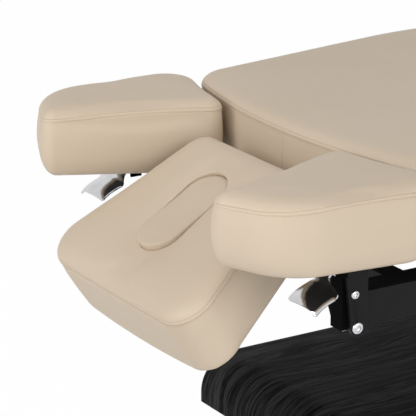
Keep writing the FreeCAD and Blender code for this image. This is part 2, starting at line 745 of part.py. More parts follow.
def make_chassis():
    """Two rails with end caps, cross-members between them and bearers on top of them."""
    caps = []
    for side_name, side in SIDES:
        name = "chassis_rail_" + side_name
        y = across(side, rail_inner, rail_outer)
        keep(tube(name, "x", (rail_head, d.rail_foot), y, (d.rail_bottom, rail_top), d.rail_wall), name)
        plug = box("cap_plug_" + side_name, (d.rail_foot - d.plug_depth, d.rail_foot), *bore_limits(y))
        cover = box("cap_cover_" + side_name, (d.rail_foot, d.rail_foot + d.cap_thick), y,
                    (d.rail_bottom, rail_top))
        caps.append(fuse("cap_" + side_name, [plug, cover]))
    keep(group("rail_end_caps", caps), "rail_end_caps")
    lines = [cross_head + d.cross_width / 2, d.rail_foot - d.cross_width]
    for _, end in ENDS:
        spread = (d.column_length - d.cross_width) / 2
        lines += [column_x(end) - spread, column_x(end) + spread]
    members = [tube("cross_%d" % index, "y", about(x, d.cross_width), (-rail_inner, rail_inner),
                    (d.rail_bottom, rail_top), d.rail_wall) for index, x in enumerate(lines)]
    keep(group("chassis_crossmembers", members), "chassis_crossmembers")
    reach = rail_outer + d.bearer_reach
    bearers = []
    for index, x in enumerate(bearer_places()):
        bar = tube("bearer_tube_%d" % index, "y", about(x, d.cross_width), (-reach, reach),
                   (rail_top, d.deck_height), d.rail_wall)
        holes = [rod("bearer_hole_%d_%s" % (index, side_name), "z",
                     (x, side * (rail_inner - d.cross_width), d.deck_height - d.rail_wall - OVERSHOOT),
                     d.screw_radius + d.seat_play, d.rail_wall + 2 * OVERSHOOT) for side_name, side in SIDES]
        bearers.append(cut("bearer_%d" % index, bar, holes))
    keep(group("deck_bearers", bearers), "deck_bearers")
    screws = [screw("deck_screw_%d" % index, x, y, d.deck_height - d.rail_wall, d.rail_wall)
              for index, (x, y) in enumerate(deck_screw_places())]
    keep(group("deck_screws", screws), "deck_screws")


def bore_limits(y):
    """Limits in Y and Z of what plugs into a chassis rail."""
    inwards = d.rail_wall + d.tube_play
    return (y[0] + inwards, y[1] - inwards), (d.rail_bottom + inwards, rail_top - inwards)


def make_guide(side_name, side):
    """A slanted rail nose with a tower, slotted for the armrest's bolts and clamp bar."""
    name = "armrest_guide_" + side_name
    y = across(side, rail_inner, rail_outer)
    nose = prism(name + "_nose",
                 [(rail_head - d.guide_nose_bottom, d.rail_bottom), (rail_head, d.rail_bottom),
                  (rail_head, rail_top), (rail_head - d.guide_nose_top, rail_top)], y)
    low = d.rail_bottom
    tower = box(name + "_tower", about(guide_x, d.guide_width),
                across(side, rail_outer - d.guide_depth, rail_outer), (low, d.deck_height - d.guide_gap))
    spigot = box(name + "_spigot", (rail_head, rail_head + d.plug_depth), *bore_limits(y))
    slot_top = upper_bolt_z + d.armrest_travel + d.bolt_radius + d.board_play
    slot = box(name + "_slot", about(guide_x, 2 * (d.bolt_radius + d.bolt_stagger + d.slide_play)),
               across(side, rail_outer - d.guide_lip - OVERSHOOT, rail_outer + OVERSHOOT),
               (low - OVERSHOOT, slot_top))
    bar = clamp_bar_limits(side)
    cavity_top = upper_bolt_z + d.clamp_bar_end + d.armrest_travel + d.board_play
    cavity = box(name + "_cavity", (bar[0][0] - d.slide_play, bar[0][1] + d.slide_play),
                 (bar[1][0] - d.slide_play, bar[1][1] + d.slide_play), (low - OVERSHOOT, cavity_top))
    keep(cut(name, fuse(name + "_block", [nose, tower, spigot]), [slot, cavity]), name)


def clamp_bar_limits(side):
    """Limits of the clamp bar behind the guide's outer wall."""
    outer = rail_outer - d.guide_lip - d.slide_play
    return (about(guide_x, d.clamp_bar_width), across(side, outer - d.clamp_bar_thick, outer),
            (lower_bolt_z - d.clamp_bar_end, upper_bolt_z + d.clamp_bar_end))


# Table

def table_outline():
    """Corners and radii of the table: bowed head end, flared shoulders, rounded foot."""
    head, foot = -float(d.table_head), float(d.table_foot)
    flare = head + float(d.table_flare)
    narrow, wide = float(d.table_half - d.table_narrowing), float(d.table_half)
    bow, slope = float(d.bow_radius), math.radians(float(d.bow_angle))
    peak = head - float(d.bow_reach) - bow * (1 / math.cos(slope) - 1)
    corner = peak + narrow * math.tan(slope)
    corners = [(peak, 0.0), (corner, -narrow), (flare, -wide), (foot, -wide), (foot, wide), (flare, wide),
               (corner, narrow)]
    shoulder, blend, tail = float(d.shoulder_radius), float(d.flare_radius), float(d.foot_radius)
    return corners, [bow, shoulder, blend, tail, tail, blend, shoulder]


def make_table():
    """The long upholstered top and the board that carries it."""
    corners, radii = table_outline()
    low = float(d.deck_height)
    board = slab(corners, radii, float(d.board_margin), low, low + float(d.board_thick))
    for x, y in deck_screw_places():
        board = board.cut(screw_hole(float(x), float(y), low, low + float(d.screw_bite + d.board_play)))
    keep(shaped("deck_board", board), "deck_board")
    keep(shaped("table_pad", cushion(corners, radii, low)), "table_pad")


# Headrest, drawn level about its hinge and then tilted

def headrest_edge():
    """Inner edge of the level headrest, from the hinge."""
    return d.hinge_ahead - d.headrest_gap


def headrest_under():
    """Underside of the level headrest, from the hinge."""
    return -(d.hinge_rise + d.headrest_drop)


def headrest_outline():
    """Corners and radii of the keystone."""
    inner = float(headrest_edge())
    outer = inner - float(d.headrest_length)
    narrow, wide = float(headrest_inner_half), float(headrest_outer_half)
    corners = [(outer, -wide), (inner, -narrow), (inner, narrow), (outer, wide)]
    tight, broad = float(d.headrest_inner_radius), float(d.headrest_outer_radius)
    return corners, [broad, tight, tight, broad]


def face_outline(shrink):
    """The rounded slot of the face hole, drawn in by a margin."""
    middle = float(headrest_edge() - d.face_hole_setback)
    half_length = float(d.face_hole_length) / 2 - shrink
    half_width = float(d.face_hole_width) / 2 - shrink
    corners = [(middle - half_length, -half_width), (middle + half_length, -half_width),
               (middle + half_length, half_width), (middle - half_length, half_width)]
    return corners, [half_width - OVERSHOOT] * 4


def headrest_screw_places():
    """Two screws through each hinge arm's flange."""
    middle = arm_web()[1] - d.arm_flange_width / 2
    ends = (0.42 * d.hinge_arm_length, 0.88 * d.hinge_arm_length)
    return [(-end, side * middle) for end in ends for _, side in SIDES]


def arm_web():
    """Limits of a hinge arm's web, from the middle of the bed outwards."""
    inside = ear_setback + d.ear_thick + d.washer_thick + 4 * d.running_play
    return inside, inside + d.hinge_arm_thick


def make_headrest():
    """Headrest pad with its face hole, its board, hinge arms, washers and screws."""
    corners, radii = headrest_outline()
    low = float(headrest_under())
    board_top = low + float(d.board_thick)
    hole = slab(*face_outline(0.0), 0.0, low - OVERSHOOT, low + float(d.pad_rise + 2 * d.pad_crown))
    keep(tilted(shaped("headrest_pad", cushion(corners, radii, low).cut(hole))), "headrest_pad")
    board = slab(corners, radii, float(d.board_margin), low, board_top)
    board = board.cut(slab(*face_outline(float(d.face_ledge)), 0.0, low - OVERSHOOT, board_top + OVERSHOOT))
    for x, y in headrest_screw_places():
        board = board.cut(screw_hole(float(x), float(y), low, low + float(d.screw_bite + d.board_play)))
    keep(tilted(shaped("headrest_board", board)), "headrest_board")
    arms = [make_hinge_arm(side_name, side) for side_name, side in SIDES]
    keep(tilted(group("headrest_hinge_arms", arms)), "headrest_hinge_arms")
    keep(tilted(group("headrest_washers", [make_washer(name, side) for name, side in SIDES])),
         "headrest_washers")
    seat = headrest_under() - d.arm_flange_thick
    screws = [screw("headrest_screw_%d" % index, x, y, seat, d.arm_flange_thick)
              for index, (x, y) in enumerate(headrest_screw_places())]
    keep(tilted(group("headrest_screws", screws)), "headrest_screws")


def make_hinge_arm(side_name, side):
    """A cranked web with a boss on the hinge pin and a flange under the headrest's board."""
    name = "hinge_arm_" + side_name
    under = headrest_under()
    web_y = across(side, *arm_web())
    inside = d.hinge_boss_radius * 0.55
    start = headrest_edge() - d.board_margin
    web = prism(name + "_web",
                [(-inside, -inside),
                 (headrest_edge() - 0.8 * d.pad_foot_round, under - d.hinge_arm_step),
                 (start, under - d.hinge_arm_step), (start, under), (-d.hinge_arm_length, under),
                 (-d.hinge_arm_length, under - d.hinge_arm_tip),
                 (start - d.hinge_arm_depth, under - d.hinge_arm_depth),
                 (inside, -inside)], web_y)
    boss = rod(name + "_boss", "y", (0.0, web_y[0], 0.0), d.hinge_boss_radius, d.hinge_arm_thick)
    flange = box(name + "_flange", (-d.hinge_arm_length, start),
                 across(side, arm_web()[1] - d.arm_flange_width, arm_web()[1]),
                 (under - d.arm_flange_thick, under))
    holes = [rod(name + "_bore", "y", (0.0, web_y[0] - OVERSHOOT, 0.0),
                 d.hinge_pin_radius + d.running_play, d.hinge_arm_thick + 2 * OVERSHOOT)]
    for index, (x, y) in enumerate(headrest_screw_places()):
        if float(y) * side > 0:
            holes.append(rod("%s_hole_%d" % (name, index), "z",
                             (x, y, under - d.arm_flange_thick - OVERSHOOT),
                             d.screw_radius + d.seat_play, d.arm_flange_thick + 2 * OVERSHOOT))
    return cut(name, fuse(name + "_whole", [web, boss, flange]), holes)


def make_washer(side_name, side):
    """A friction washer between an ear and a hinge arm."""
    name = "washer_" + side_name
    inside = ear_setback + d.ear_thick + 2 * d.running_play
    y = across(side, inside, inside + d.washer_thick)
    disc = rod(name + "_disc", "y", (0.0, y[0], 0.0), d.hinge_boss_radius, d.washer_thick)
    bore = rod(name + "_bore", "y", (0.0, y[0] - OVERSHOOT, 0.0),
               d.hinge_pin_radius + d.running_play, d.washer_thick + 2 * OVERSHOOT)
    return cut(name, disc, [bore])


def make_hinge():
    """The fixed half of the headrest hinge: ears on the head cross-member, pin and nuts."""
    inside = d.hinge_boss_radius * 0.65
    ears = []
    nuts = []
    arm_outer = arm_web()[1] + 2 * d.running_play
    nut_thick = d.hinge_boss_radius
    for side_name, side in SIDES:
        name = "hinge_ear_" + side_name
        y = across(side, ear_setback, ear_setback + d.ear_thick)
        plate = prism(name + "_plate",
                      [(cross_head, rail_top), (cross_head + d.cross_width, rail_top),
                       (hinge_x + inside, hinge_z + inside), (hinge_x - inside, hinge_z - inside)], y)
        boss = rod(name + "_boss", "y", (hinge_x, y[0], hinge_z), d.hinge_boss_radius, d.ear_thick)
        bore = rod(name + "_bore", "y", (hinge_x, y[0] - OVERSHOOT, hinge_z),
                   d.hinge_pin_radius + d.seat_play, d.ear_thick + 2 * OVERSHOOT)
        ears.append(cut(name, fuse(name + "_whole", [plate, boss]), [bore]))
        nut_y = across(side, arm_outer, arm_outer + nut_thick)
        nut = rod("hinge_nut_body_" + side_name, "y", (hinge_x, nut_y[0], hinge_z),
                  d.hinge_boss_radius, nut_thick)
        nut_bore = rod("hinge_nut_bore_" + side_name, "y", (hinge_x, nut_y[0] - OVERSHOOT, hinge_z),
                       d.hinge_pin_radius + d.seat_play, nut_thick + 2 * OVERSHOOT)
        nuts.append(cut("hinge_nut_" + side_name, nut, [nut_bore]))
    keep(group("headrest_hinge_ears", ears), "headrest_hinge_ears")
    keep(group("headrest_hinge_nuts", nuts), "headrest_hinge_nuts")
    reach = arm_outer + nut_thick + d.seat_play
    keep(rod("headrest_hinge_pin", "y", (hinge_x, -reach, hinge_z), d.hinge_pin_radius, 2 * reach),
         "headrest_hinge_pin")


def make_face_plug():
    """The cushion that fills the face hole, on its own board, resting on the headrest's ledge."""
    corners, radii = face_outline(float(d.plug_play))
    low = float(headrest_under() + d.board_thick + d.plug_lift)
    seat = low + float(d.plug_board_thick)
    top = float(headrest_under() + d.pad_rise + d.pad_crown)
    top_round = float(d.plug_top_round)
    draw = float(d.pad_seam_draw)
    crown = float(d.pad_crown)
    heights = ((seat, draw), (seat + crown, 0.0), (top - crown, 0.0), (top - 0.4 * crown, draw),
               (top + 0.1 * crown, 0.4 * top_round), (top + 0.4 * crown, top_round))
    wires = [outline_at(corners, radii, height, inset) for height, inset in heights]
    keep(tilted(shaped("face_plug_cushion", Part.makeLoft(wires, True, True))), "face_plug_cushion")
    keep(tilted(shaped("face_plug_board", slab(corners, radii, draw, low, seat))), "face_plug_board")


# Armrests

def armrest_outline(side):
    """Corners and radii of a wedge with a slanted nose, run anticlockwise on either side."""
    head = float(d.table_head)
    inner_x = -(head + float(d.armrest_inner_gap))
    outer_x = -(head - float(d.armrest_outer_reach))
    nose_x = -(head + float(d.armrest_length))
    corners = [(inner_x, float(headrest_inner_half + d.armrest_bed_gap)),
               (outer_x, float(d.table_half - d.armrest_bed_inset)),
               (nose_x + float(d.armrest_nose_slant), float(d.table_half - d.armrest_head_inset)),
               (nose_x, float(headrest_outer_half + d.armrest_head_gap))]
    radii = [float(d.armrest_inner_radius), float(d.armrest_outer_radius),
             float(d.nose_outer_radius), float(d.nose_inner_radius)]
    if side > 0:
        return corners, radii
    return [(x, -y) for x, y in reversed(corners)], radii[::-1]


def make_armrest(side_name, side):
    """Pad, board, slide plate with bolts and clamp bar, and the bracket and pin of its lever."""
    corners, radii = armrest_outline(side)
    low = float(d.deck_height)
    pad_name = "armrest_pad_" + side_name
    board_name = "armrest_board_" + side_name
    keep(shaped(pad_name, cushion(corners, radii, low)), pad_name)
    board = slab(corners, radii, float(d.board_margin), low, low + float(d.board_thick))
    keep(shaped(board_name, board), board_name)
    make_slide(side_name, side)
    make_lever_bracket(side_name, side)
    make_lever(side_name, side)


def make_slide(side_name, side):
    """A tapered plate with a rounded end and a top flange, its two bolts and their clamp bar."""
    name = "armrest_slide_plate_" + side_name
    inside = rail_outer + d.slide_play
    outside = inside + d.plate_thick
    y = across(side, inside, outside)
    left, right = about(guide_x, d.plate_width)
    end_x = right - d.plate_end_radius
    end_z = lower_bolt_z
    web = prism(name + "_web", [(left, d.deck_height), (right, d.deck_height), (right, end_z),
                                (end_x - d.plate_end_radius, end_z)][::-1], y)
    tip = rod(name + "_tip", "y", (end_x, y[0], end_z), d.plate_end_radius, d.plate_thick)
    flange = box(name + "_flange", (left, right), across(side, inside, inside + d.plate_flange),
                 (d.deck_height - d.arm_flange_thick, d.deck_height))
    holes = []
    bolts = []
    bar = clamp_bar_limits(side)
    inner_end = rail_outer - d.guide_lip - d.slide_play - d.clamp_bar_thick
    bar_holes = []
    for place, x, z, head_radius in (
            ("upper", guide_x - d.bolt_stagger, upper_bolt_z, d.upper_head_radius),
            ("lower", guide_x + d.bolt_stagger, lower_bolt_z, d.lower_head_radius)):
        bolt = "slide_bolt_%s_%s" % (place, side_name)
        shank_y = across(side, inner_end, outside)
        head_y = across(side, outside, outside + d.bolt_head)
        shank = rod(bolt + "_shank", "y", (x, shank_y[0], z), d.bolt_radius, outside - inner_end)
        head = rod(bolt + "_head", "y", (x, head_y[0], z), head_radius, d.bolt_head)
        bolts.append(fuse(bolt, [shank, head]))
        holes.append(rod(bolt + "_hole", "y", (x, y[0] - OVERSHOOT, z),
                         d.bolt_radius + d.seat_play, d.plate_thick + 2 * OVERSHOOT))
        bar_holes.append(rod(bolt + "_thread", "y", (x, bar[1][0] - OVERSHOOT, z),
                             d.bolt_radius + d.seat_play, d.clamp_bar_thick + 2 * OVERSHOOT))
    keep(cut(name, fuse(name + "_whole", [web, tip, flange]), holes), name)
    bar_name = "armrest_clamp_bar_" + side_name
    keep(cut(bar_name, box(bar_name + "_bar", *bar), bar_holes), bar_name)
    keep(group("armrest_bolts_" + side_name, bolts), "armrest_bolts_" + side_name)


def make_lever_bracket(side_name, side):
    """A folded bracket under the armrest's board, with two cheeks that hold the lever's pin."""
    name = "lever_bracket_" + side_name
    x = about(lever_x, d.bracket_length)
    gap = d.lever_arm_width / 2 + d.lever_play
    cheek = gap + d.bracket_thick
    low = lever_z - d.lever_hub_radius
    middle = side * lever_y
    web = box(name + "_web", x, (middle - cheek, middle + cheek),
              (d.deck_height - d.bracket_thick, d.deck_height))
    pieces = [web]
    for label, start in (("near", middle - cheek), ("far", middle + gap)):
        pieces.append(box(name + "_" + label, about(lever_x, 2 * d.lever_hub_radius + 2 * d.bracket_thick),
                          (start, start + d.bracket_thick), (low, d.deck_height)))
    bore = rod(name + "_bore", "y", (lever_x, middle - cheek - OVERSHOOT, lever_z),
               d.lever_pin_radius + d.seat_play, 2 * (cheek + OVERSHOOT))
    keep(cut(name, fuse(name + "_whole", pieces), [bore]), name)
    pin_name = "lever_pin_" + side_name
    reach = cheek + d.bracket_thick / 2
    keep(rod(pin_name, "y", (lever_x, middle - reach, lever_z), d.lever_pin_radius, 2 * reach), pin_name)


def make_lever(side_name, side):
    """A lever drawn level about its pivot: hub, arm and arched paddle, then sloped down."""
    name = "paddle_lever_" + side_name
    half = d.lever_arm_width / 2
    hub = rod(name + "_hub", "y", (0.0, -half, 0.0), d.lever_hub_radius, d.lever_arm_width)
    paddle_start = -d.lever_arm_length
    paddle_end = paddle_start - d.paddle_length
    arm = box(name + "_arm", (paddle_start - d.lever_arm_thick, 0.0), (-half, half),
              about(0.0, d.lever_arm_thick))
    middle = side * d.paddle_shift
    centre = (paddle_end, middle, -d.paddle_cup - d.paddle_thick / 2)
    outer = rod(name + "_outer", "x", centre, d.paddle_cup + d.paddle_thick, d.paddle_length)
    inner = rod(name + "_inner", "x", centre, d.paddle_cup, d.paddle_length)
    blank = box(name + "_blank", (paddle_end, paddle_start), about(middle, d.paddle_width),
                (-d.paddle_cup / 2, d.paddle_thick))
    paddle = common(name + "_paddle", cut(name + "_band", outer, [inner]), blank)
    bore = rod(name + "_bore", "y", (0.0, -half - OVERSHOOT, 0.0),
               d.lever_pin_radius + d.running_play, d.lever_arm_width + 2 * OVERSHOOT)
    lever = cut(name, fuse(name + "_whole", [hub, arm, paddle]), [bore])
    keep(place_at(lever, lever_x, side * lever_y, lever_z, d.lever_slope), name)


make_plinth()
make_base_frame()
make_columns()
make_drive()
make_inlet()
make_chassis()
make_table()
make_hinge()
make_headrest()
make_face_plug()
for side_word, side_sign in SIDES:
    make_guide(side_word, side_sign)
    make_armrest(side_word, side_sign)
doc.recompute()

faults = [thing.Name for thing in doc.Objects
          if "Invalid" in thing.State or "Error" in thing.State]
faults += [thing.Label for thing in nodes if thing.Shape.isNull() or not thing.Shape.isValid()]
if faults:
    raise RuntimeError("these pieces did not build: " + ", ".join(faults))

os.makedirs("parts", exist_ok=True)
for thing in nodes:
    thing.Shape.exportStep("parts/%s.step" % thing.Label)
print("%d sub-parts written" % len(nodes))
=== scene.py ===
import json
import math

import bpy
import numpy as np
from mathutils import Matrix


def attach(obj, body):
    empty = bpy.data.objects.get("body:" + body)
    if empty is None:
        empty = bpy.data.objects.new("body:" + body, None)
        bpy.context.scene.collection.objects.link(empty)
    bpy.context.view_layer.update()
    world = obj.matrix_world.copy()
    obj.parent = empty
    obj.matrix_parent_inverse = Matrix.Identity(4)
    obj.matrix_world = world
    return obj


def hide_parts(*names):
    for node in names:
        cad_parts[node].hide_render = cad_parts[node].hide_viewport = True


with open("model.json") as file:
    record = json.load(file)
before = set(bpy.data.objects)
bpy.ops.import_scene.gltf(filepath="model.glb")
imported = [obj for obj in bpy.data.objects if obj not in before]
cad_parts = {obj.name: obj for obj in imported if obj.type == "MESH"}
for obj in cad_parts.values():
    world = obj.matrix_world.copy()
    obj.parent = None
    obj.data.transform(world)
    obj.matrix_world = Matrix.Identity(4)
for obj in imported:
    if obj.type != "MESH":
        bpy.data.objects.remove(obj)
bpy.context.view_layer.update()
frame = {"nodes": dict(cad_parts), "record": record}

# Spa treatment bed: upholstered pads, bright levers, black metal and a black-stained oak plinth.
# Every length is in metres in the frame of the model: +X to the foot end, +Z up.

MM = 0.001
DECK = 0.484                                # underside of the level pads
SEAM_RISE = 0.106                           # seam line above a pad's underside
HELD_RISE = 0.1035                          # middle of the sewn edge above a pad's underside
HINGE = np.array([-0.761, 0.0, 0.488])      # middle of the headrest's hinge pin
HEADREST_TILT = math.radians(35.0)
HEADREST_UNDER = -0.014                     # underside of the headrest above its hinge, before it is tilted
SIDES = (("left", 1.0), ("right", -1.0))
scene = bpy.context.scene


# Meshes

def ring_quads(count, around, join_ends=False):
    """Quads between the neighbouring rings of a grid, and from its last ring to its first if they join."""
    last = count if join_ends else count - 1
    low = (np.arange(last) * around)[:, None]
    high = (((np.arange(last) + 1) % count) * around)[:, None]
    here = np.arange(around)[None, :]
    after = (here + 1) % around
    return np.stack([low + here, low + after, high + after, high + here], axis=-1).reshape(-1, 4)


def closed_mesh(name, rings, join_ends=False):
    """A surface on a grid of closed rings, whose ends either join or have flat caps."""
    count, around = rings.shape[:2]
    faces = ring_quads(count, around, join_ends).tolist()
    if not join_ends:
        faces.append(list(range(around))[::-1])
        faces.append(list(range((count - 1) * around, count * around)))
    return new_piece(name, rings.reshape(-1, 3), faces)


def new_piece(name, points, faces):
    """A smooth-shaded mesh object at the origin."""
    mesh = bpy.data.meshes.new(name)
    mesh.from_pydata(np.asarray(points, float).tolist(), [], faces)
    mesh.polygons.foreach_set("use_smooth", np.ones(len(mesh.polygons), bool))
    mesh.update()
    piece = bpy.data.objects.new(name, mesh)
    scene.collection.objects.link(piece)
    return piece


def smooth_through(points, per_span):
    """A curve through points: on each span the cubic whose end slopes are half its neighbours' chords."""
    knots = np.asarray(points, float)
    padded = np.vstack([2 * knots[0] - knots[1], knots, 2 * knots[-1] - knots[-2]])
    a, b, c, d = (padded[k:len(padded) - 3 + k, None, :] for k in range(4))
    t = np.linspace(0, 1, per_span, endpoint=False)[None, :, None]
    curve = 0.5 * (2 * b + (c - a) * t + (2 * a - 5 * b + 4 * c - d) * t ** 2
                   + (3 * b - a - 3 * c + d) * t ** 3)
    return np.vstack([curve.reshape(-1, knots.shape[1]), knots[-1:]])


# Extra points of an outline about an upright seam, and how far its even points keep away, in millimetres.
SEAM_OFFSETS = np.array([-5, -2.6, -1.4, -0.7, 0, 0.7, 1.4, 2.6, 5])
SEAM_CLEAR = 8


def rounded_outline(corners, radii, step, seam_corner=None):
    """Points and outward normals of an anticlockwise outline: straight sides joined by tangent arcs.
    On the arc numbered seam_corner, extra points gather about its middle for an upright seam."""
    corners = np.asarray(corners, float)
    count = len(corners)
    arcs = []
    for index, radius in enumerate(radii):
        here = corners[index]
        back = corners[index - 1] - here
        ahead = corners[(index + 1) % count] - here
        back /= np.linalg.norm(back)
        ahead /= np.linalg.norm(ahead)
        half = math.acos(np.clip(back @ ahead, -1, 1)) / 2
        bisector = (back + ahead) / np.linalg.norm(back + ahead)
        centre = here + bisector * radius / math.sin(half)
        reach = radius / math.tan(half)
        sweep = math.pi - 2 * half
        start = here + back * reach - centre
        turns = np.linspace(0, sweep, max(3, math.ceil(radius * sweep / step)), endpoint=False)
        if index == seam_corner:
            clear = np.abs(turns - sweep / 2) > SEAM_CLEAR * MM / radius
            turns = np.sort(np.concatenate([turns[clear], sweep / 2 + SEAM_OFFSETS * MM / radius]))
        first = math.atan2(start[1], start[0])
        normals = np.stack([np.cos(first + turns), np.sin(first + turns)], axis=1)
        arcs.append((here + back * reach, centre + radius * normals, normals, here + ahead * reach))
    points, outwards = [], []
    for index in range(count):
        begin = arcs[index - 1][3]
        end, arc_points, arc_normals, _ = arcs[index]
        length = np.linalg.norm(end - begin)
        share = np.linspace(0, 1, max(2, math.ceil(length / step)), endpoint=False)
        along = (end - begin) / length
        points += [begin + share[:, None] * (end - begin), arc_points]
        outwards += [np.tile([along[1], -along[0]], (len(share), 1)), arc_normals]
    return np.vstack(points), np.vstack(outwards)


def nearest_on(spine, points):
    """The nearest point of a straight segment to each of the points."""
    start, end = (np.asarray(place, float) for place in spine)
    along = end - start
    share = np.clip(((points - start) @ along) / (along @ along), 0, 1)
    return start + share[:, None] * along


def turn_down(points, pivot, angle):
    """Turns points about the Y axis so that the head side drops, then moves them to the pivot."""
    x, y, z = np.moveaxis(points, -1, 0)
    turned = np.stack([x * math.cos(angle) - z * math.sin(angle), y,
                       x * math.sin(angle) + z * math.cos(angle)], axis=-1)
    return turned + pivot


def tilt_headrest(points):
    """Turns points drawn about the headrest's hinge down by its tilt and moves them to the hinge."""
    return turn_down(points, HINGE, HEADREST_TILT)


# Pads

# Half sections of a pad as (inset from the widest line, height above the underside) in millimetres.
POCKET = ((31.0, 18.2), (31.0, 12.0), (31.0, 4.0), (30.6, 0.6))
UNDERSIDE = ((29.6, 0.0), (25.0, 0.0), (20.5, 0.5), (14.0, 4.0), (8.5, 10.0), (4.0, 20.0), (1.2, 36.0),
             (0.0, 60.0), (0.5, 82.0), (1.3, 95.0), (1.7, 98.6), (2.3, 100.4), (1.9, 102.2), (2.1, 104.4),
             (2.8, 105.7), (4.0, 106.2))
FIRM_UNDERSIDE = ((29.6, 0.0), (21.0, -2.4), (12.0, -3.0), (6.0, -2.0), (2.2, 1.4), (0.6, 8.0), (0.0, 22.0),
                  (0.0, 48.0)) + UNDERSIDE[8:]
TOP_EDGE = ((4.0, 106.2), (3.3, 106.9), (4.2, 108.6), (7.0, 111.0), (11.5, 113.6), (18.0, 115.8),
            (27.0, 117.4), (40.0, 118.4), (60.0, 119.0))
SECTION_STEPS = 3
STITCH_INSET, STITCH_RISE = 1.9, 100.6
CROWN_RISE = 1.6
CROWN_SHARES = (0.12, 0.26, 0.42, 0.58, 0.72, 0.84, 0.92, 0.97, 0.99)
TURN_INSET = 22.0
GROOVE_DEPTH, GROOVE_WIDTH = 1.6, 1.1
PUCKER_DEPTH, PUCKER_WIDTH = 0.5, 4.0


def pad_rings(points, outwards, towards, profile):
    """Rings of a pad: each row of the profile insets the outline along its normals as far as TURN_INSET,
    and beyond that along straight lines to the points that the outline closes on."""
    inset, rise = (column[:, None, None] * MM for column in np.asarray(profile, float).T)
    turn = TURN_INSET * MM
    edge = points - outwards * turn
    away = towards - edge
    distance = np.linalg.norm(away, axis=1, keepdims=True)
    shallow = points - outwards * np.minimum(inset, turn)
    deep = np.maximum(inset - turn, 0) * (away / distance)
    plan = shallow + deep
    return np.concatenate([plan, np.broadcast_to(rise, plan.shape[:2] + (1,))], axis=2)


def crown_rings(rim, towards, shares):
    """Rings from the rim of the top towards its middle, rising as one minus the square of what is left."""
    share = np.asarray(shares)[:, None, None]
    plan = rim[None, :, :2] * (1 - share) + towards[None] * share
    rise = rim[None, :, 2:] + CROWN_RISE * MM * (1 - (1 - share) ** 2)
    return np.concatenate([plan, rise], axis=2)


def upright_seam(rings, rows, place, outward):
    """Draws an upright groove into the side of a pad: a narrow bell curve across the seam on a wide one."""
    gap = np.linalg.norm(rings[rows, :, :2] - np.asarray(place), axis=2)
    groove = GROOVE_DEPTH * MM * np.exp(-(gap / (GROOVE_WIDTH * MM)) ** 2)
    dip = groove + PUCKER_DEPTH * MM * np.exp(-(gap / (PUCKER_WIDTH * MM)) ** 2)
    rings[rows, :, :2] -= dip[:, :, None] * np.asarray(outward)
    return rings


def side_profile(underside=UNDERSIDE):
    """The whole half section of a pad from its pocket to the flat of its top."""
    return np.vstack([POCKET, smooth_through(underside, SECTION_STEPS)[1:-1],
                      smooth_through(TOP_EDGE, SECTION_STEPS)])


def solid_rings(points, outwards, spine):
    """Rings of a pad that closes on a spine along its middle."""
    towards = nearest_on(spine, points)
    rings = pad_rings(points, outwards, towards, side_profile())
    return np.concatenate([rings, crown_rings(rings[-1], towards, CROWN_SHARES)])


# Swelling of the stuffed covers

FOAM_PRESSURE = 4.0
CLOTH_FRAMES = 20
CELL_VOXELS = 2.5                           # side of a grid cell in voxels of the cloth
GRID_MARGIN = 2.5                           # cells about the cloth's box
HELD_REACH = 0.011                          # height over which the seam holds the cover
FLOOR_REACH = 0.02                          # height over which the underside holds the cover


def mesh_points(mesh):
    """The places of a mesh's points."""
    places = np.empty(len(mesh.vertices) * 3)
    mesh.vertices.foreach_get("co", places)
    return places.reshape(-1, 3)


def put_points(mesh, places):
    """Moves a mesh's points to the given places."""
    mesh.vertices.foreach_set("co", places.ravel())
    mesh.update()


def cloth_swell(piece, points, voxel):
    """How far the points of a pad go when its cover is a closed cloth blown up by the foam: a remeshed copy
    is simulated, its shifts are averaged in the cells of a coarse grid and read back at the pad's own points
    with the eight-corner average."""
    cover = bpy.data.objects.new("cover_cloth", piece.data.copy())
    scene.collection.objects.link(cover)
    remesh = cover.modifiers.new("even_cells", "REMESH")
    remesh.mode = "VOXEL"
    remesh.voxel_size = voxel
    bpy.context.view_layer.update()
    even = bpy.data.meshes.new_from_object(cover.evaluated_get(bpy.context.evaluated_depsgraph_get()))
    cover.modifiers.remove(remesh)
    cover.data = even
    cloth = cover.modifiers.new("cloth", "CLOTH")
    cloth.settings.use_pressure = True
    cloth.settings.uniform_pressure_force = FOAM_PRESSURE
    cloth.settings.effector_weights.gravity = 0.0
    cloth.settings.quality = 4
    cloth.collision_settings.use_collision = False
    start = mesh_points(even)
    for step in range(CLOTH_FRAMES):
        scene.frame_set(step + 1)
    end = mesh_points(cover.evaluated_get(bpy.context.evaluated_depsgraph_get()).data)
    scene.frame_set(1)
    bpy.data.objects.remove(cover)
    return grid_average(start, end - start, points, CELL_VOXELS * voxel)


def grid_average(places, shifts, points, cell):
    """Shifts averaged over the cells of a grid and their neighbours, read at the points with weights that
    fall off linearly from each of the eight cell middles about a point."""
    low = places.min(axis=0) - GRID_MARGIN * cell
    size = np.ceil((places.max(axis=0) - low) / cell + 3).astype(int)
    index = np.ravel_multi_index(((places - low) / cell).astype(int).T, size)
    total = int(size.prod())
    layers = [np.bincount(index, weights=shifts[:, k], minlength=total) for k in range(3)]
    layers.append(np.bincount(index, minlength=total).astype(float))
    grid = np.stack([layer.reshape(size) for layer in layers], axis=-1)
    for axis in range(3):
        grid = grid + 0.5 * (np.roll(grid, 1, axis=axis) + np.roll(grid, -1, axis=axis))
    spot = (points - low) / cell - 0.5
    base = np.floor(spot).astype(int)
    part = spot - base
    read = np.zeros((len(points), 4))
    for corner in np.ndindex(2, 2, 2):
        weight = np.prod(np.where(corner, part, 1 - part), axis=1)
        at = np.clip(base + corner, 0, size - 1)
        read += weight[:, None] * grid[at[:, 0], at[:, 1], at[:, 2]]
    return read[:, :3] / np.maximum(read[:, 3:], 1e-9)


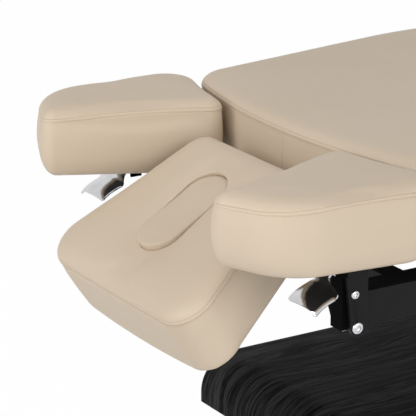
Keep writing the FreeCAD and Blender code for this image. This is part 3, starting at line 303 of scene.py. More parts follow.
def smooth_step(share):
    """Runs from nothing to one with level ends: three times the square less twice the cube."""
    return share * share * (3 - 2 * share)


def swell(piece, voxel, seam_height, floor_height, most):
    """Moves a pad's points as its blown-up cover goes, no further than the given lengths along each axis.
    Near the seam line and at the underside the cover is held, so that the shift fades to nothing there."""
    points = mesh_points(piece.data)
    shift = cloth_swell(piece, points, voxel)
    held = smooth_step(np.clip(np.abs(points[:, 2] - seam_height) / HELD_REACH, 0, 1))
    held = held * np.clip((points[:, 2] - floor_height) / FLOOR_REACH, 0, 1)
    limit = np.asarray(most)
    put_points(piece.data, points + held[:, None] * limit * np.tanh(shift / limit))


def face_hole(points, middle, half_length, half_width):
    """The point of a rounded slot that faces each of the points, outwards from the slot's spine."""
    reach = half_length - half_width
    core = nearest_on(((middle - reach, 0.0), (middle + reach, 0.0)), points)
    away = points - core
    return core + away / np.linalg.norm(away, axis=1, keepdims=True) * half_width


# Stitches

def stitch_row(name, path, outwards, spacing, length, radius):
    """A row of threads along a closed path: each is a flattened spindle whose radius follows a half sine
    along its length, laid along the path and half sunk in the surface."""
    steps = np.linalg.norm(np.roll(path, -1, axis=0) - path, axis=1)
    travelled = np.concatenate([[0], np.cumsum(steps)])
    total = travelled[-1]
    count = int(total / spacing)
    at = (np.arange(count) + 0.5) * total / count
    ring = np.vstack([path, path[:1]])
    facing = np.vstack([outwards, outwards[:1]])
    place = np.stack([np.interp(at, travelled, ring[:, k]) for k in range(3)], axis=1)
    ahead = at + 0.1 * MM
    ahead = np.stack([np.interp(ahead, travelled, ring[:, k], period=total) for k in range(3)], axis=1)
    along = ahead - place
    along /= np.linalg.norm(along, axis=1, keepdims=True)
    out = np.stack([np.interp(at, travelled, facing[:, k]) for k in range(3)], axis=1)
    out /= np.linalg.norm(out, axis=1, keepdims=True)
    across = np.cross(along, out)
    share = np.array([0.04, 0.2, 0.5, 0.8, 0.96])
    turn = np.arange(6) / 6 * 2 * np.pi
    girth = radius * np.sin(np.pi * share) ** 0.5
    shape = (along[:, None, None, :] * ((share - 0.5) * length)[None, :, None, None]
             + (out[:, None, None, :] * np.cos(turn)[None, None, :, None]
                + across[:, None, None, :] * np.sin(turn)[None, None, :, None])
             * girth[None, :, None, None])
    points = (place[:, None, None, :] + shape).reshape(-1, 3)
    rows, around = len(share), len(turn)
    starts = (np.arange(count) * rows * around)[:, None, None]
    faces = (ring_quads(rows, around)[None] + starts).reshape(-1, 4).tolist()
    first = (starts[:, :, 0] + np.arange(around)[::-1]).tolist()
    last = (starts[:, :, 0] + (rows - 1) * around + np.arange(around)).tolist()
    return new_piece(name, points, faces + first + last)


def stitch_path(points, outwards, height):
    """The path of a pad's stitches above its underside, which lies at a height, with level normals."""
    plan = points - outwards * STITCH_INSET * MM
    path = np.column_stack([plan, np.full(len(plan), height + STITCH_RISE * MM)])
    return path, np.column_stack([outwards, np.zeros(len(outwards))])


# Materials

class Finish:
    """A node material with a few words for the nodes that these finishes use."""

    def __init__(self, name):
        self.material = bpy.data.materials.new(name)
        self.material.use_nodes = True
        self.tree = self.material.node_tree
        self.shader = self.tree.nodes["Principled BSDF"]
        self.place = self.node("ShaderNodeTexCoord").outputs["Object"]

    def node(self, kind, **settings):
        """A new node with some of its settings changed."""
        made = self.tree.nodes.new(kind)
        for key, value in settings.items():
            setattr(made, key, value)
        return made

    def wire(self, source, target):
        """Joins an outlet to an inlet."""
        self.tree.links.new(source, target)

    def set(self, **values):
        """Sets the shader's own values, which are the same all over."""
        for key, value in values.items():
            self.shader.inputs[key.replace("_", " ")].default_value = value

    def mapped(self, scale, source=None):
        """Coordinates stretched by a scale along each axis."""
        mapping = self.node("ShaderNodeMapping")
        mapping.inputs["Scale"].default_value = scale
        self.wire(source or self.place, mapping.inputs["Vector"])
        return mapping.outputs["Vector"]

    def noise(self, scale, detail, roughness=0.5, vector=None):
        """Cloudy values about one half."""
        texture = self.node("ShaderNodeTexNoise")
        texture.inputs["Scale"].default_value = scale
        texture.inputs["Detail"].default_value = detail
        texture.inputs["Roughness"].default_value = roughness
        self.wire(vector or self.place, texture.inputs["Vector"])
        return texture.outputs["Fac"]

    def cells(self, scale):
        """Distances to the edges of small cells."""
        texture = self.node("ShaderNodeTexVoronoi", feature="DISTANCE_TO_EDGE")
        texture.inputs["Scale"].default_value = scale
        self.wire(self.place, texture.inputs["Vector"])
        return texture.outputs["Distance"]

    def ramp(self, source, stops):
        """Colours between stops, each a (position, colour)."""
        ramp = self.node("ShaderNodeValToRGB")
        places = ramp.color_ramp.elements
        while len(places) < len(stops):
            places.new(0.5)
        for stop, (position, colour) in zip(places, stops):
            stop.position = position
            stop.color = (*colour, 1.0)
        self.wire(source, ramp.inputs["Fac"])
        return ramp.outputs["Color"]

    def spread(self, source, low, high):
        """Values from nothing to one, spread between two others."""
        scaled = self.node("ShaderNodeMapRange")
        scaled.inputs["To Min"].default_value = low
        scaled.inputs["To Max"].default_value = high
        self.wire(source, scaled.inputs["Value"])
        return scaled.outputs["Result"]

    def maths(self, operation, first, second):
        """Two values, each a number or an outlet, put together."""
        made = self.node("ShaderNodeMath", operation=operation)
        for socket, value in zip(made.inputs, (first, second)):
            if isinstance(value, float):
                socket.default_value = value
            else:
                self.wire(value, socket)
        return made.outputs["Value"]

    def bump(self, heights):
        """Stacks bumps, each a (source, strength, distance)."""
        normal = None
        for source, strength, distance in heights:
            made = self.node("ShaderNodeBump")
            made.inputs["Strength"].default_value = strength
            made.inputs["Distance"].default_value = distance
            self.wire(source, made.inputs["Height"])
            if normal:
                self.wire(normal, made.inputs["Normal"])
            normal = made.outputs["Normal"]
        self.wire(normal, self.shader.inputs["Normal"])

    def colour(self, source):
        """Gives the shader its colour."""
        self.wire(source, self.shader.inputs["Base Color"])

    def dark(self, source, tone):
        """Gives the shader colours from four fifths of a dark tone to the tone itself."""
        full = srgb(*tone)
        self.colour(self.ramp(source, [(0.3, tuple(0.8 * part for part in full)), (0.7, full)]))

    def rough(self, source, low, high):
        """Gives the shader a roughness between two values."""
        self.wire(self.spread(source, low, high), self.shader.inputs["Roughness"])


def srgb(red, green, blue):
    """A colour given as on a screen, in linear light."""
    def linear(value):
        value /= 255.0
        return value / 12.92 if value <= 0.04045 else ((value + 0.055) / 1.055) ** 2.4
    return tuple(linear(value) for value in (red, green, blue))


def upholstery_vinyl():
    """Smooth beige vinyl: faint tone drift, fine pebble grain and slow waves in the foam beneath."""
    vinyl = Finish("beige_vinyl")
    drift = vinyl.noise(3.0, 2.0)
    vinyl.colour(vinyl.ramp(drift, [(0.3, srgb(202, 185, 163)), (0.7, srgb(207, 190, 169))]))
    vinyl.rough(vinyl.noise(40.0, 2.0), 0.46, 0.56)
    vinyl.set(Specular_IOR_Level=0.32)
    grain = vinyl.cells(900.0)
    waves = vinyl.noise(14.0, 1.0)
    vinyl.bump([(waves, 0.10, 0.004), (grain, 0.10, 0.00025)])
    return vinyl.material


def sewing_thread():
    """Matching thread with a twisted lay."""
    thread = Finish("beige_thread")
    twist = thread.noise(2500.0, 1.0)
    thread.colour(thread.ramp(twist, [(0.35, srgb(188, 170, 146)), (0.65, srgb(206, 189, 165))]))
    thread.rough(twist, 0.55, 0.7)
    return thread.material


def painted_metal(name, tone, rough_low, rough_high, shine):
    """Black paint on steel: fine orange peel and slightly uneven gloss."""
    paint = Finish(name)
    patches = paint.noise(35.0, 3.0)
    paint.dark(patches, tone)
    paint.rough(patches, rough_low, rough_high)
    paint.set(Specular_IOR_Level=shine)
    paint.bump([(paint.noise(1400.0, 2.0), 0.05, 0.0003)])
    return paint.material


def polished_chrome():
    """Mirror-bright plating with a trace of handling haze."""
    chrome = Finish("polished_chrome")
    haze = chrome.noise(60.0, 3.0)
    chrome.colour(chrome.ramp(haze, [(0.3, (0.56, 0.56, 0.57)), (0.7, (0.64, 0.64, 0.65))]))
    chrome.set(Metallic=1.0)
    chrome.rough(haze, 0.07, 0.14)
    return chrome.material


def turned_steel():
    """Bright zinc-plated steel with fine machining haze."""
    steel = Finish("turned_steel")
    haze = steel.noise(420.0, 2.0)
    steel.colour(steel.ramp(haze, [(0.3, (0.58, 0.58, 0.60)), (0.7, (0.74, 0.74, 0.76))]))
    steel.set(Metallic=1.0)
    steel.rough(haze, 0.22, 0.36)
    steel.bump([(haze, 0.05, 0.0002)])
    return steel.material


def stained_oak(name, lay_of):
    """Black-stained oak. Bands, veins and pores are noise stretched along the grain at three widths, and a
    slow noise bends them all. lay_of gives the grain's own coordinates."""
    oak = Finish(name)
    lay = lay_of(oak)
    bend = oak.noise(1.0, 2.0, vector=oak.mapped((1.6, 5.0, 5.0), lay))
    shifted = oak.node("ShaderNodeVectorMath", operation="ADD")
    offset = oak.node("ShaderNodeCombineXYZ")
    oak.wire(oak.maths("MULTIPLY", bend, 0.16), offset.inputs["Y"])
    oak.wire(lay, shifted.inputs[0])
    oak.wire(offset.outputs["Vector"], shifted.inputs[1])
    wavy = shifted.outputs["Vector"]
    bands = oak.noise(1.0, 4.0, 0.65, vector=oak.mapped((1.2, 46.0, 46.0), wavy))
    veins = oak.noise(1.0, 3.0, 0.7, vector=oak.mapped((8.0, 230.0, 230.0), wavy))
    pores = oak.noise(1.0, 3.0, 0.7, vector=oak.mapped((16.0, 560.0, 560.0), wavy))
    fine = oak.maths("ADD", oak.maths("MULTIPLY", veins, 0.36), oak.maths("MULTIPLY", pores, 0.34))
    streaks = oak.maths("ADD", oak.maths("MULTIPLY", bands, 0.30), fine)
    oak.colour(oak.ramp(streaks, [(0.435, srgb(1, 1, 1)), (0.485, srgb(24, 24, 24)),
                                  (0.535, srgb(56, 56, 57))]))
    oak.rough(pores, 0.62, 0.46)
    oak.set(Specular_IOR_Level=0.02)
    oak.bump([(veins, 0.45, 0.0012), (pores, 0.35, 0.0006)])
    return oak.material


def stained_plywood():
    """Birch plywood stained black, with a faint figure and thin layers."""
    ply = Finish("stained_plywood")
    figure = ply.noise(1.0, 3.0, vector=ply.mapped((4.0, 60.0, 60.0)))
    layers = ply.noise(1.0, 1.0, vector=ply.mapped((0.5, 0.5, 420.0)))
    mixed = ply.maths("MULTIPLY", figure, ply.spread(layers, 0.7, 1.3))
    ply.colour(ply.ramp(mixed, [(0.25, srgb(14, 13, 12)), (0.6, srgb(30, 28, 26))]))
    ply.rough(figure, 0.6, 0.75)
    ply.bump([(figure, 0.15, 0.0004)])
    return ply.material


def moulded(name, tone, rough_low, rough_high):
    """Black moulded plastic or rubber with a fine spark-eroded texture."""
    plastic = Finish(name)
    speckle = plastic.noise(1800.0, 2.0)
    plastic.dark(speckle, tone)
    plastic.rough(speckle, rough_low, rough_high)
    plastic.bump([(speckle, 0.12, 0.0002)])
    return plastic.material


def waterfall_lay(oak):
    """Grain coordinates of the bent panel: its own map, in metres along and across the board."""
    lay = oak.node("ShaderNodeUVMap", uv_map="along_board")
    return lay.outputs["UV"]


PANEL_OFFSET = 0.37                         # place of a side panel's figure, away from the board's


def panel_lay(oak):
    """Grain coordinates of an upright side panel: along X, and across by its height."""
    parts = oak.node("ShaderNodeSeparateXYZ")
    joined = oak.node("ShaderNodeCombineXYZ")
    oak.wire(oak.place, parts.inputs["Vector"])
    oak.wire(parts.outputs["X"], joined.inputs["X"])
    oak.wire(oak.maths("ADD", parts.outputs["Z"], PANEL_OFFSET), joined.inputs["Y"])
    return joined.outputs["Vector"]


VINYL = upholstery_vinyl()
THREAD = sewing_thread()
CHROME = polished_chrome()
STEEL = turned_steel()
FRAME_PAINT = painted_metal("satin_black_steel", (21, 21, 22), 0.40, 0.52, 0.14)
COLUMN_PAINT = painted_metal("satin_black_column", (24, 24, 25), 0.34, 0.46, 0.14)
# Painted shade: the guides, lever brackets and pins get a near-black, dull paint, darker than the frame's,
# that stands in for the deep shade on their faces towards the head end.
SHADE_DARKENED_PAINT = painted_metal("black_steel_painted_shade", (7, 7, 7), 0.60, 0.72, 0.03)
OAK_BOARD = stained_oak("black_oak_board", waterfall_lay)
OAK_PANEL = stained_oak("black_oak_panel", panel_lay)
PLYWOOD = stained_plywood()
PLASTIC = moulded("black_plastic", (24, 24, 25), 0.5, 0.62)
RUBBER = moulded("black_rubber", (20, 20, 20), 0.72, 0.85)

SLOT_FINISH = {"vinyl": VINYL, "plywood": PLYWOOD, "stained_oak": OAK_PANEL, "black_steel": FRAME_PAINT,
               "black_column": COLUMN_PAINT, "chrome": CHROME, "bright_steel": STEEL,
               "black_plastic": PLASTIC, "rubber": RUBBER}
# Node kinds that take the darkened paint, which is painted shade.
SHADE_DARKENED_FINISH = {"lever_pin": SHADE_DARKENED_PAINT, "lever_bracket": SHADE_DARKENED_PAINT, "armrest_guide": SHADE_DARKENED_PAINT}


def dress(piece, material, body, slot, *nodes):
    """Gives a new piece its finish and the body that it moves with, and hides the model nodes that it stands
    for.
    """
    piece.data.materials.clear()
    piece.data.materials.append(material)
    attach(piece, body)
    if nodes:
        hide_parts(*nodes)


# Upholstery

STITCH_SPACING, STITCH_LENGTH, THREAD_RADIUS = 0.0058, 0.0042, 0.0005


def stitched(name, path, outwards, body):
    """The row of stitches under a pad's seam."""
    row = stitch_row(name, path, outwards, STITCH_SPACING, STITCH_LENGTH, THREAD_RADIUS)
    dress(row, THREAD, body, "vinyl")


def make_table():
    """The long pad: a bowed head end with an upright seam in its middle, flared shoulders, straight sides
    and a rounded foot. The bow is an arc tangent to two lines that slope back to the shoulders."""
    bow, slope = 1.230, math.radians(13.3)
    head, flare, foot = -0.7635, -0.262, 1.0809
    narrow, wide, pocket_half = 0.3495, 0.4240, 0.3802
    shoulder_round, flare_round, foot_round = 0.075, 0.600, 0.110
    peak = head - bow * (1 / math.cos(slope) - 1)
    shoulder = peak + narrow * math.tan(slope)
    corners = ((peak, 0.0), (shoulder, -narrow), (flare, -wide), (foot, -wide), (foot, wide), (flare, wide),
               (shoulder, narrow))
    radii = (bow, shoulder_round, flare_round, foot_round, foot_round, flare_round, shoulder_round)
    points, outwards = rounded_outline(corners, radii, step=0.007, seam_corner=0)
    spine = ((-0.43, 0.0), (0.68, 0.0))
    rings = solid_rings(points, outwards, spine)
    pocket = len(POCKET)
    rows = slice(pocket, len(side_profile()) - len(smooth_through(TOP_EDGE, SECTION_STEPS)))
    rings = upright_seam(rings, rows, (head, 0.0), (-1.0, 0.0))
    rings[:pocket, :, 1] = np.clip(rings[:pocket, :, 1], -pocket_half, pocket_half)
    rings[..., 2] += DECK
    pad = closed_mesh("table_upholstery", rings)
    swell(pad, 0.011, DECK + HELD_RISE, DECK, (0.0012, 0.0012, 0.003))
    dress(pad, VINYL, "chassis", "vinyl", "table_pad")
    path, facing = stitch_path(points, outwards, DECK)
    stitched("table_stitching", path, facing, "chassis")


NOSE_END, BED_END = -1.064, -0.730
SEAM_WAVE, SEAM_CLIMB = 0.0035, 0.0015      # half height of the armrest's seam wave, and its rise to the bed
NOSE_LIFT, UNDER_FALL = 0.0040, 0.0150      # armrest's underside at the nose, and its fall to the bed
TOP_RISE, TOP_CLIMB = 0.119, 0.001          # armrest's top above its underside, and its rise to the bed
NOSE_BELLY = 0.0032


def armrest_heights(points):
    """Heights of an armrest: the underside falls from the nose to the bed in a straight line, the seam dips
    at both ends as one wave of a cosine, and what lies between is stretched to fit."""
    x, y, z = np.moveaxis(points, -1, 0)
    share = np.clip((x - NOSE_END) / (BED_END - NOSE_END), 0, 1)
    seam = SEAM_RISE - SEAM_WAVE * np.cos(2 * np.pi * share) + SEAM_CLIMB * share
    under = NOSE_LIFT - UNDER_FALL * share
    low = under + z * (seam - under) / SEAM_RISE
    high = seam + (z - SEAM_RISE) * (TOP_RISE + TOP_CLIMB * share - seam) / (TOP_RISE - SEAM_RISE)
    return np.stack([x, y, np.where(z < SEAM_RISE, low, high)], axis=-1)


def make_armrest(side_name, side):
    """A wedge-shaped pad with a slanted, rounded nose that hugs the table's shoulder. The nose swells by
    half a sine wave from the underside to the seam. The pocket for the board keeps its place."""
    corners = [(-0.767, 0.155), (-0.7085, 0.388), (-1.004, 0.386), (NOSE_END, 0.254)]
    radii = [0.026, 0.059, 0.110, 0.024]
    spine = ((-0.938, 0.305), (-0.838, 0.291))
    if side < 0:
        corners = [(x, -y) for x, y in corners][::-1]
        radii = radii[::-1]
        spine = tuple((x, -y) for x, y in spine)
    points, outwards = rounded_outline(corners, radii, 0.0045)
    rings = solid_rings(points, outwards, spine)
    pocket = len(POCKET)
    headwards = np.clip((-0.2 - outwards[:, 0]) / 0.6, 0, 1)
    height = np.clip(rings[pocket:, :, 2] / SEAM_RISE, 0, 1)
    rings[pocket:, :, :2] += NOSE_BELLY * (np.sin(np.pi * height) * headwards)[..., None] * outwards
    rings[pocket:] = armrest_heights(rings[pocket:])
    rings[..., 2] += DECK
    pad = closed_mesh("armrest_upholstery_" + side_name, rings)
    swell(pad, 0.006, DECK + HELD_RISE, DECK, (0.0010, 0.0010, 0.0025))
    body = "armrest_" + side_name
    dress(pad, VINYL, body, "vinyl", "armrest_pad_" + side_name)
    path, facing = stitch_path(points, outwards, 0.0)
    stitched("armrest_stitching_" + side_name, armrest_heights(path) + (0, 0, DECK), facing, body)


# The headrest before it is tilted, measured from its hinge.
HEADREST_EDGE, HEADREST_END = -0.008, -0.3286
HINGE_HALF, HEAD_HALF = 0.1385, 0.2345      # half widths at the hinge and at the head end
FACE_MIDDLE, FACE_REACH, FACE_HALF = -0.1545, 0.088, 0.046
LIP_CURL = 0.0020
WALL_HEIGHTS = np.array([0.086, 0.060, 0.030, 0.0184])
BOW_HALF, BOW_OUT, BOW_DOWN = 0.21, 0.0065, 0.0050
BOW_OUT_HEIGHT, BOW_DOWN_HEIGHT = 96, 50    # millimetres up the section where the bow has faded
BOW_FADE = 16                               # millimetres over which it fades towards the board
SIDE_SLANT = 0.284                          # how far the sides face the head end
FIRM_FROM, FIRM_OVER, FIRM_SIDES = -0.045, 0.060, 0.25


def make_headrest():
    """The keystone pad: the same section as the others with a firmer lower edge away from the hinge, whose
    head end bows outwards and down below the seam by one minus the square of the distance from its middle.
    It closes on the rim of the face hole, whose rounded lip turns down into a wall that meets the board."""
    corners = ((HEADREST_END, -HEAD_HALF), (HEADREST_EDGE, -HINGE_HALF), (HEADREST_EDGE, HINGE_HALF),
               (HEADREST_END, HEAD_HALF))
    points, outwards = rounded_outline(corners, (0.056, 0.040, 0.040, 0.058), 0.0045)
    lip = face_hole(points, FACE_MIDDLE, FACE_REACH + LIP_CURL, FACE_HALF + LIP_CURL)
    wall = face_hole(points, FACE_MIDDLE, FACE_REACH, FACE_HALF)
    firm_profile = side_profile(FIRM_UNDERSIDE)[:-SECTION_STEPS]
    soft = pad_rings(points, outwards, lip, side_profile()[:-SECTION_STEPS])
    firm = pad_rings(points, outwards, lip, firm_profile)
    head_side = np.clip(SIDE_SLANT - outwards[:, 0], 0, 1)
    firmness = np.clip((FIRM_FROM - points[:, 0]) / FIRM_OVER, 0, 1)
    firmness = firmness * (FIRM_SIDES + (1 - FIRM_SIDES) * head_side)
    rings = soft + (firm - soft) * firmness[None, :, None]
    inset, rise = firm_profile.T
    bow = np.clip(1 - (points[:, 1] / BOW_HALF) ** 2, 0, 1) * head_side * np.clip(-outwards[:, 0], 0, 1)
    free = np.clip((UNDERSIDE[0][0] - inset) / BOW_FADE, 0, 1)
    rings[..., 0] -= BOW_OUT * (free * np.clip(1 - rise / BOW_OUT_HEIGHT, 0, 1))[:, None] * bow
    rings[..., 2] -= BOW_DOWN * (free * np.clip(1 - rise / BOW_DOWN_HEIGHT, 0, 1))[:, None] * bow
    flat = crown_rings(rings[-1], lip, (0.2, 0.4, 0.6, 0.8, 0.93, 1.0))
    turn = np.linspace(0.12, 1.0, 9)[:, None, None] * np.pi / 2
    plan = lip + (wall - lip) * np.sin(turn)
    roll = np.concatenate([plan, flat[-1, :, 2:] - LIP_CURL * (1 - np.cos(turn))], axis=2)
    rows = len(WALL_HEIGHTS)
    shaft = np.concatenate([np.broadcast_to(wall, (rows,) + wall.shape),
                            np.broadcast_to(WALL_HEIGHTS[:, None, None], (rows, len(wall), 1))], axis=2)
    rings = np.concatenate([rings, flat, roll, shaft])
    rings[..., 2] += HEADREST_UNDER
    pad = closed_mesh("headrest_upholstery", rings, join_ends=True)
    swell(pad, 0.006, HEADREST_UNDER + HELD_RISE, HEADREST_UNDER + 0.02, (0.0008, 0.0008, 0.0022))
    put_points(pad.data, tilt_headrest(mesh_points(pad.data)))
    dress(pad, VINYL, "headrest", "vinyl", "headrest_pad")
    path, facing = stitch_path(points, outwards, HEADREST_UNDER)
    stitched("headrest_stitching", tilt_headrest(path), tilt_headrest(facing) - HINGE, "headrest")


def make_face_plug():
    """The loose cushion in the face hole: a rounded slot in plan with a soft crowned top that stands proud
    at the head end and sinks at the other, by a share of the distance from its middle and of its cube."""
    gap = 0.0005
    reach, half = FACE_REACH - gap, FACE_HALF - gap
    corners = ((FACE_MIDDLE - reach, -half), (FACE_MIDDLE + reach, -half), (FACE_MIDDLE + reach, half),
               (FACE_MIDDLE - reach, half))
    points, outwards = rounded_outline(corners, (half - 0.0001,) * 4, 0.003)
    section = smooth_through(((3.0, 28.4), (1.2, 31.0), (0.0, 40.0), (0.0, 85.0), (0.0, 108.0), (0.3, 114.0),
                              (0.9, 117.8), (2.4, 119.5), (7.0, 120.3), (22.0, 120.6)), SECTION_STEPS)
    spine = ((FACE_MIDDLE - reach + half, 0.0), (FACE_MIDDLE + reach - half, 0.0))
    towards = nearest_on(spine, points)
    rings = pad_rings(points, outwards, towards, section)
    rings = np.concatenate([rings, crown_rings(rings[-1], towards, (0.3, 0.6, 0.8, 0.92, 0.97))])
    lean_from, lean_over, lift, end_lift = 0.06, 0.05, 0.0062, 0.0030
    rise = np.clip((rings[..., 2:] - lean_from) / lean_over, 0, 1)
    lean = (FACE_MIDDLE - rings[..., :1]) / reach
    rings[..., 2:] += rise * (lift * lean + end_lift * lean ** 3)
    rings[..., 2] += HEADREST_UNDER
    plug = closed_mesh("face_plug_upholstery", rings)
    swell(plug, 0.005, 0.0, HEADREST_UNDER + 0.07, (0.0004, 0.0004, 0.0015))
    put_points(plug.data, tilt_headrest(mesh_points(plug.data)))
    dress(plug, VINYL, "face_plug", "vinyl", "face_plug_cushion")


# Bright hardware

LEVER_X, LEVER_Y, LEVER_Z = -0.864, 0.305, 0.459
LEVER_SLOPE = math.radians(25.0)
# The paddle's path as (distance towards the head end, height) from the pivot, in millimetres.
PADDLE_PATH = ((0.0, 6.0), (9.0, 5.6), (17.0, 1.6), (24.0, -6.0), (31.7, -13.6), (44.0, -18.2), (56.0, -23.5),
               (64.0, -28.4), (69.0, -32.4))
PADDLE_TIP = (0.0032, -0.0030)
ARM_HALF, PADDLE_GROWTH, TIP_NARROWING = 0.0098, 0.0267, 0.005
PADDLE_SHIFT, PADDLE_DROOP, PADDLE_ROLL = 0.014, 0.600, 0.0050
PADDLE_THICK, PADDLE_ROUND = 0.0036, 0.0012
# Where along its path a paddle starts to widen, roll and round off, and over what length.
NECK, ROLL, TIP = (0.021, 0.012), (0.030, 0.008), (0.0688, 0.0035)
ROLLED_SHARE = 0.28
HUB_HALF, HUB_RADIUS, HUB_BORE, HUB_LIP = 0.010, 0.0075, 0.0040, 0.001
CRISP_TURN = math.radians(50)


def bevel(piece, name, width, segments):
    """Rounds the edges of a piece where its faces turn sharply."""
    rounding = piece.modifiers.new(name, "BEVEL")
    rounding.width = width
    rounding.segments = segments
    rounding.limit_method = "ANGLE"
    rounding.angle_limit = CRISP_TURN


def make_lever(side_name, side):
    """A pressed paddle: a sheet carried along an arched path from the hub to the tip. Its width swells from
    the arm to the paddle and rounds off at the tip, and its sides droop by the square of the distance from
    its middle, which lies outwards of the arm, and roll down at the outer edge. The sheet is then thickened;
    a round hub sits at its pivot."""
    path = smooth_through(PADDLE_PATH, 5) * MM
    path = np.vstack([path, path[-1] + np.sin(np.linspace(0.2, 1, 6) * np.pi / 2)[:, None] * PADDLE_TIP])
    along = path[:, 0]
    neck, roll, tip = (np.clip((along - start) / length, 0, 1) for start, length in (NECK, ROLL, TIP))
    growth = smooth_step(neck)
    half = ARM_HALF + PADDLE_GROWTH * growth - TIP_NARROWING * (1 - np.sqrt(1 - tip ** 2))
    middle = side * PADDLE_SHIFT * growth
    across = np.sin(np.linspace(-1, 1, 41) * np.pi / 2)
    x = np.broadcast_to(-along[:, None], (len(along), len(across)))
    aside = half[:, None] * across[None, :]
    droop = growth[:, None] * aside ** 2 / PADDLE_DROOP
    rolled = np.clip((side * across - 1 + ROLLED_SHARE) / ROLLED_SHARE, 0, 1)
    droop = droop + PADDLE_ROLL * (rolled[None, :] * roll[:, None]) ** 2
    sheet = np.stack([x, middle[:, None] + aside, path[:, 1:] - droop], axis=-1)
    rows, columns = sheet.shape[:2]
    low = (np.arange(rows - 1) * columns)[:, None] + np.arange(columns - 1)[None, :]
    faces = np.stack([low, low + 1, low + columns + 1, low + columns], axis=-1).reshape(-1, 4)
    pivot = np.array([LEVER_X, side * LEVER_Y, LEVER_Z])
    paddle = new_piece("chrome_paddle_" + side_name, (sheet + pivot).reshape(-1, 3), faces.tolist())
    thick = paddle.modifiers.new("plate", "SOLIDIFY")
    thick.thickness = PADDLE_THICK
    thick.offset = 0.0
    bevel(paddle, "rolled_edge", PADDLE_ROUND, 3)
    dress(paddle, CHROME, "lever_" + side_name, "chrome", "paddle_lever_" + side_name)
    half_profile = [(HUB_BORE, HUB_HALF), (HUB_RADIUS - HUB_LIP, HUB_HALF), (HUB_RADIUS, HUB_HALF - HUB_LIP)]
    profile = np.array([(radius, -y) for radius, y in half_profile] + half_profile[::-1])
    turn = np.linspace(0, 2 * np.pi, 40, endpoint=False)
    rings = np.stack([profile[:, :1] * np.cos(turn),
                      np.broadcast_to(profile[:, 1:], (len(profile), len(turn))),
                      -profile[:, :1] * np.sin(turn)], axis=-1)
    hub = closed_mesh("chrome_hub_" + side_name, turn_down(rings, pivot, LEVER_SLOPE), join_ends=True)
    dress(hub, CHROME, "lever_" + side_name, "chrome")


BOLTS = ((-0.825, 0.413, 0.0070), (-0.819, 0.358, 0.0095))      # place along, height, radius of the head
PLATE_FACE = 0.2964                         # outer face of a slide plate
SHANK_RADIUS, SHANK_LENGTH = 0.0040, 0.024
RIM_HEIGHT, DOME_HEIGHT, SOCKET_SHARE = 0.0016, 0.0032, 0.42


def make_bolts(side_name, side):
    """Two domed bolts: a low arc of a head turned about its axis, with a six-sided socket whose wall is a
    hexagon in polar form, and a plain shank behind."""
    turn = np.linspace(0, 2 * np.pi, 72, endpoint=False)
    sixth = (turn + np.pi / 6) % (np.pi / 3) - np.pi / 6
    rim = np.ones_like(turn)
    around = len(turn)
    turned_over = [1, 0, 3, 2]
    points, faces = [], []
    for x, z, radius in BOLTS:
        socket = SOCKET_SHARE * radius / np.cos(sixth)
        rows = [(SHANK_RADIUS * rim, -SHANK_LENGTH), (SHANK_RADIUS * rim, 0.0), (radius * rim, 0.0),
                (radius * rim, RIM_HEIGHT)]
        for angle in np.linspace(0.12, 1.0, 7) * 0.8 * 1.9:
            dome = radius * (0.55 + 0.45 * math.cos(angle))
            rows.append((dome * rim, RIM_HEIGHT + DOME_HEIGHT * math.sin(angle)))
        rows += [(socket * 1.06, 0.0047), (socket, 0.0042), (socket, 0.0018), (socket * 0.5, 0.0014)]
        ring = np.stack([np.stack([x + r * np.cos(turn), side * (PLATE_FACE + depth * rim),
                                   z + side * r * np.sin(turn)], axis=-1) for r, depth in rows])
        base = sum(len(part) for part in points)
        count = len(ring)
        faces += (base + ring_quads(count, around)[:, turned_over]).tolist()
        faces.append((base + np.arange(around)).tolist())
        faces.append((base + (count - 1) * around + np.arange(around)[::-1]).tolist())
        points.append(ring.reshape(-1, 3))
    bolts = new_piece("slide_bolts_" + side_name, np.vstack(points), faces)
    split = bolts.modifiers.new("crisp_edges", "EDGE_SPLIT")
    split.split_angle = math.radians(40)
    dress(bolts, STEEL, "armrest_" + side_name, "bright_steel", "armrest_bolts_" + side_name)


# Plinth

COLUMNS = (-0.300, 0.300)
COLUMN_OPENING = np.array([0.066, 0.091, 0.030])        # half sizes of the cut about a lift column
COLUMN_OPENING_HEIGHT = 0.105


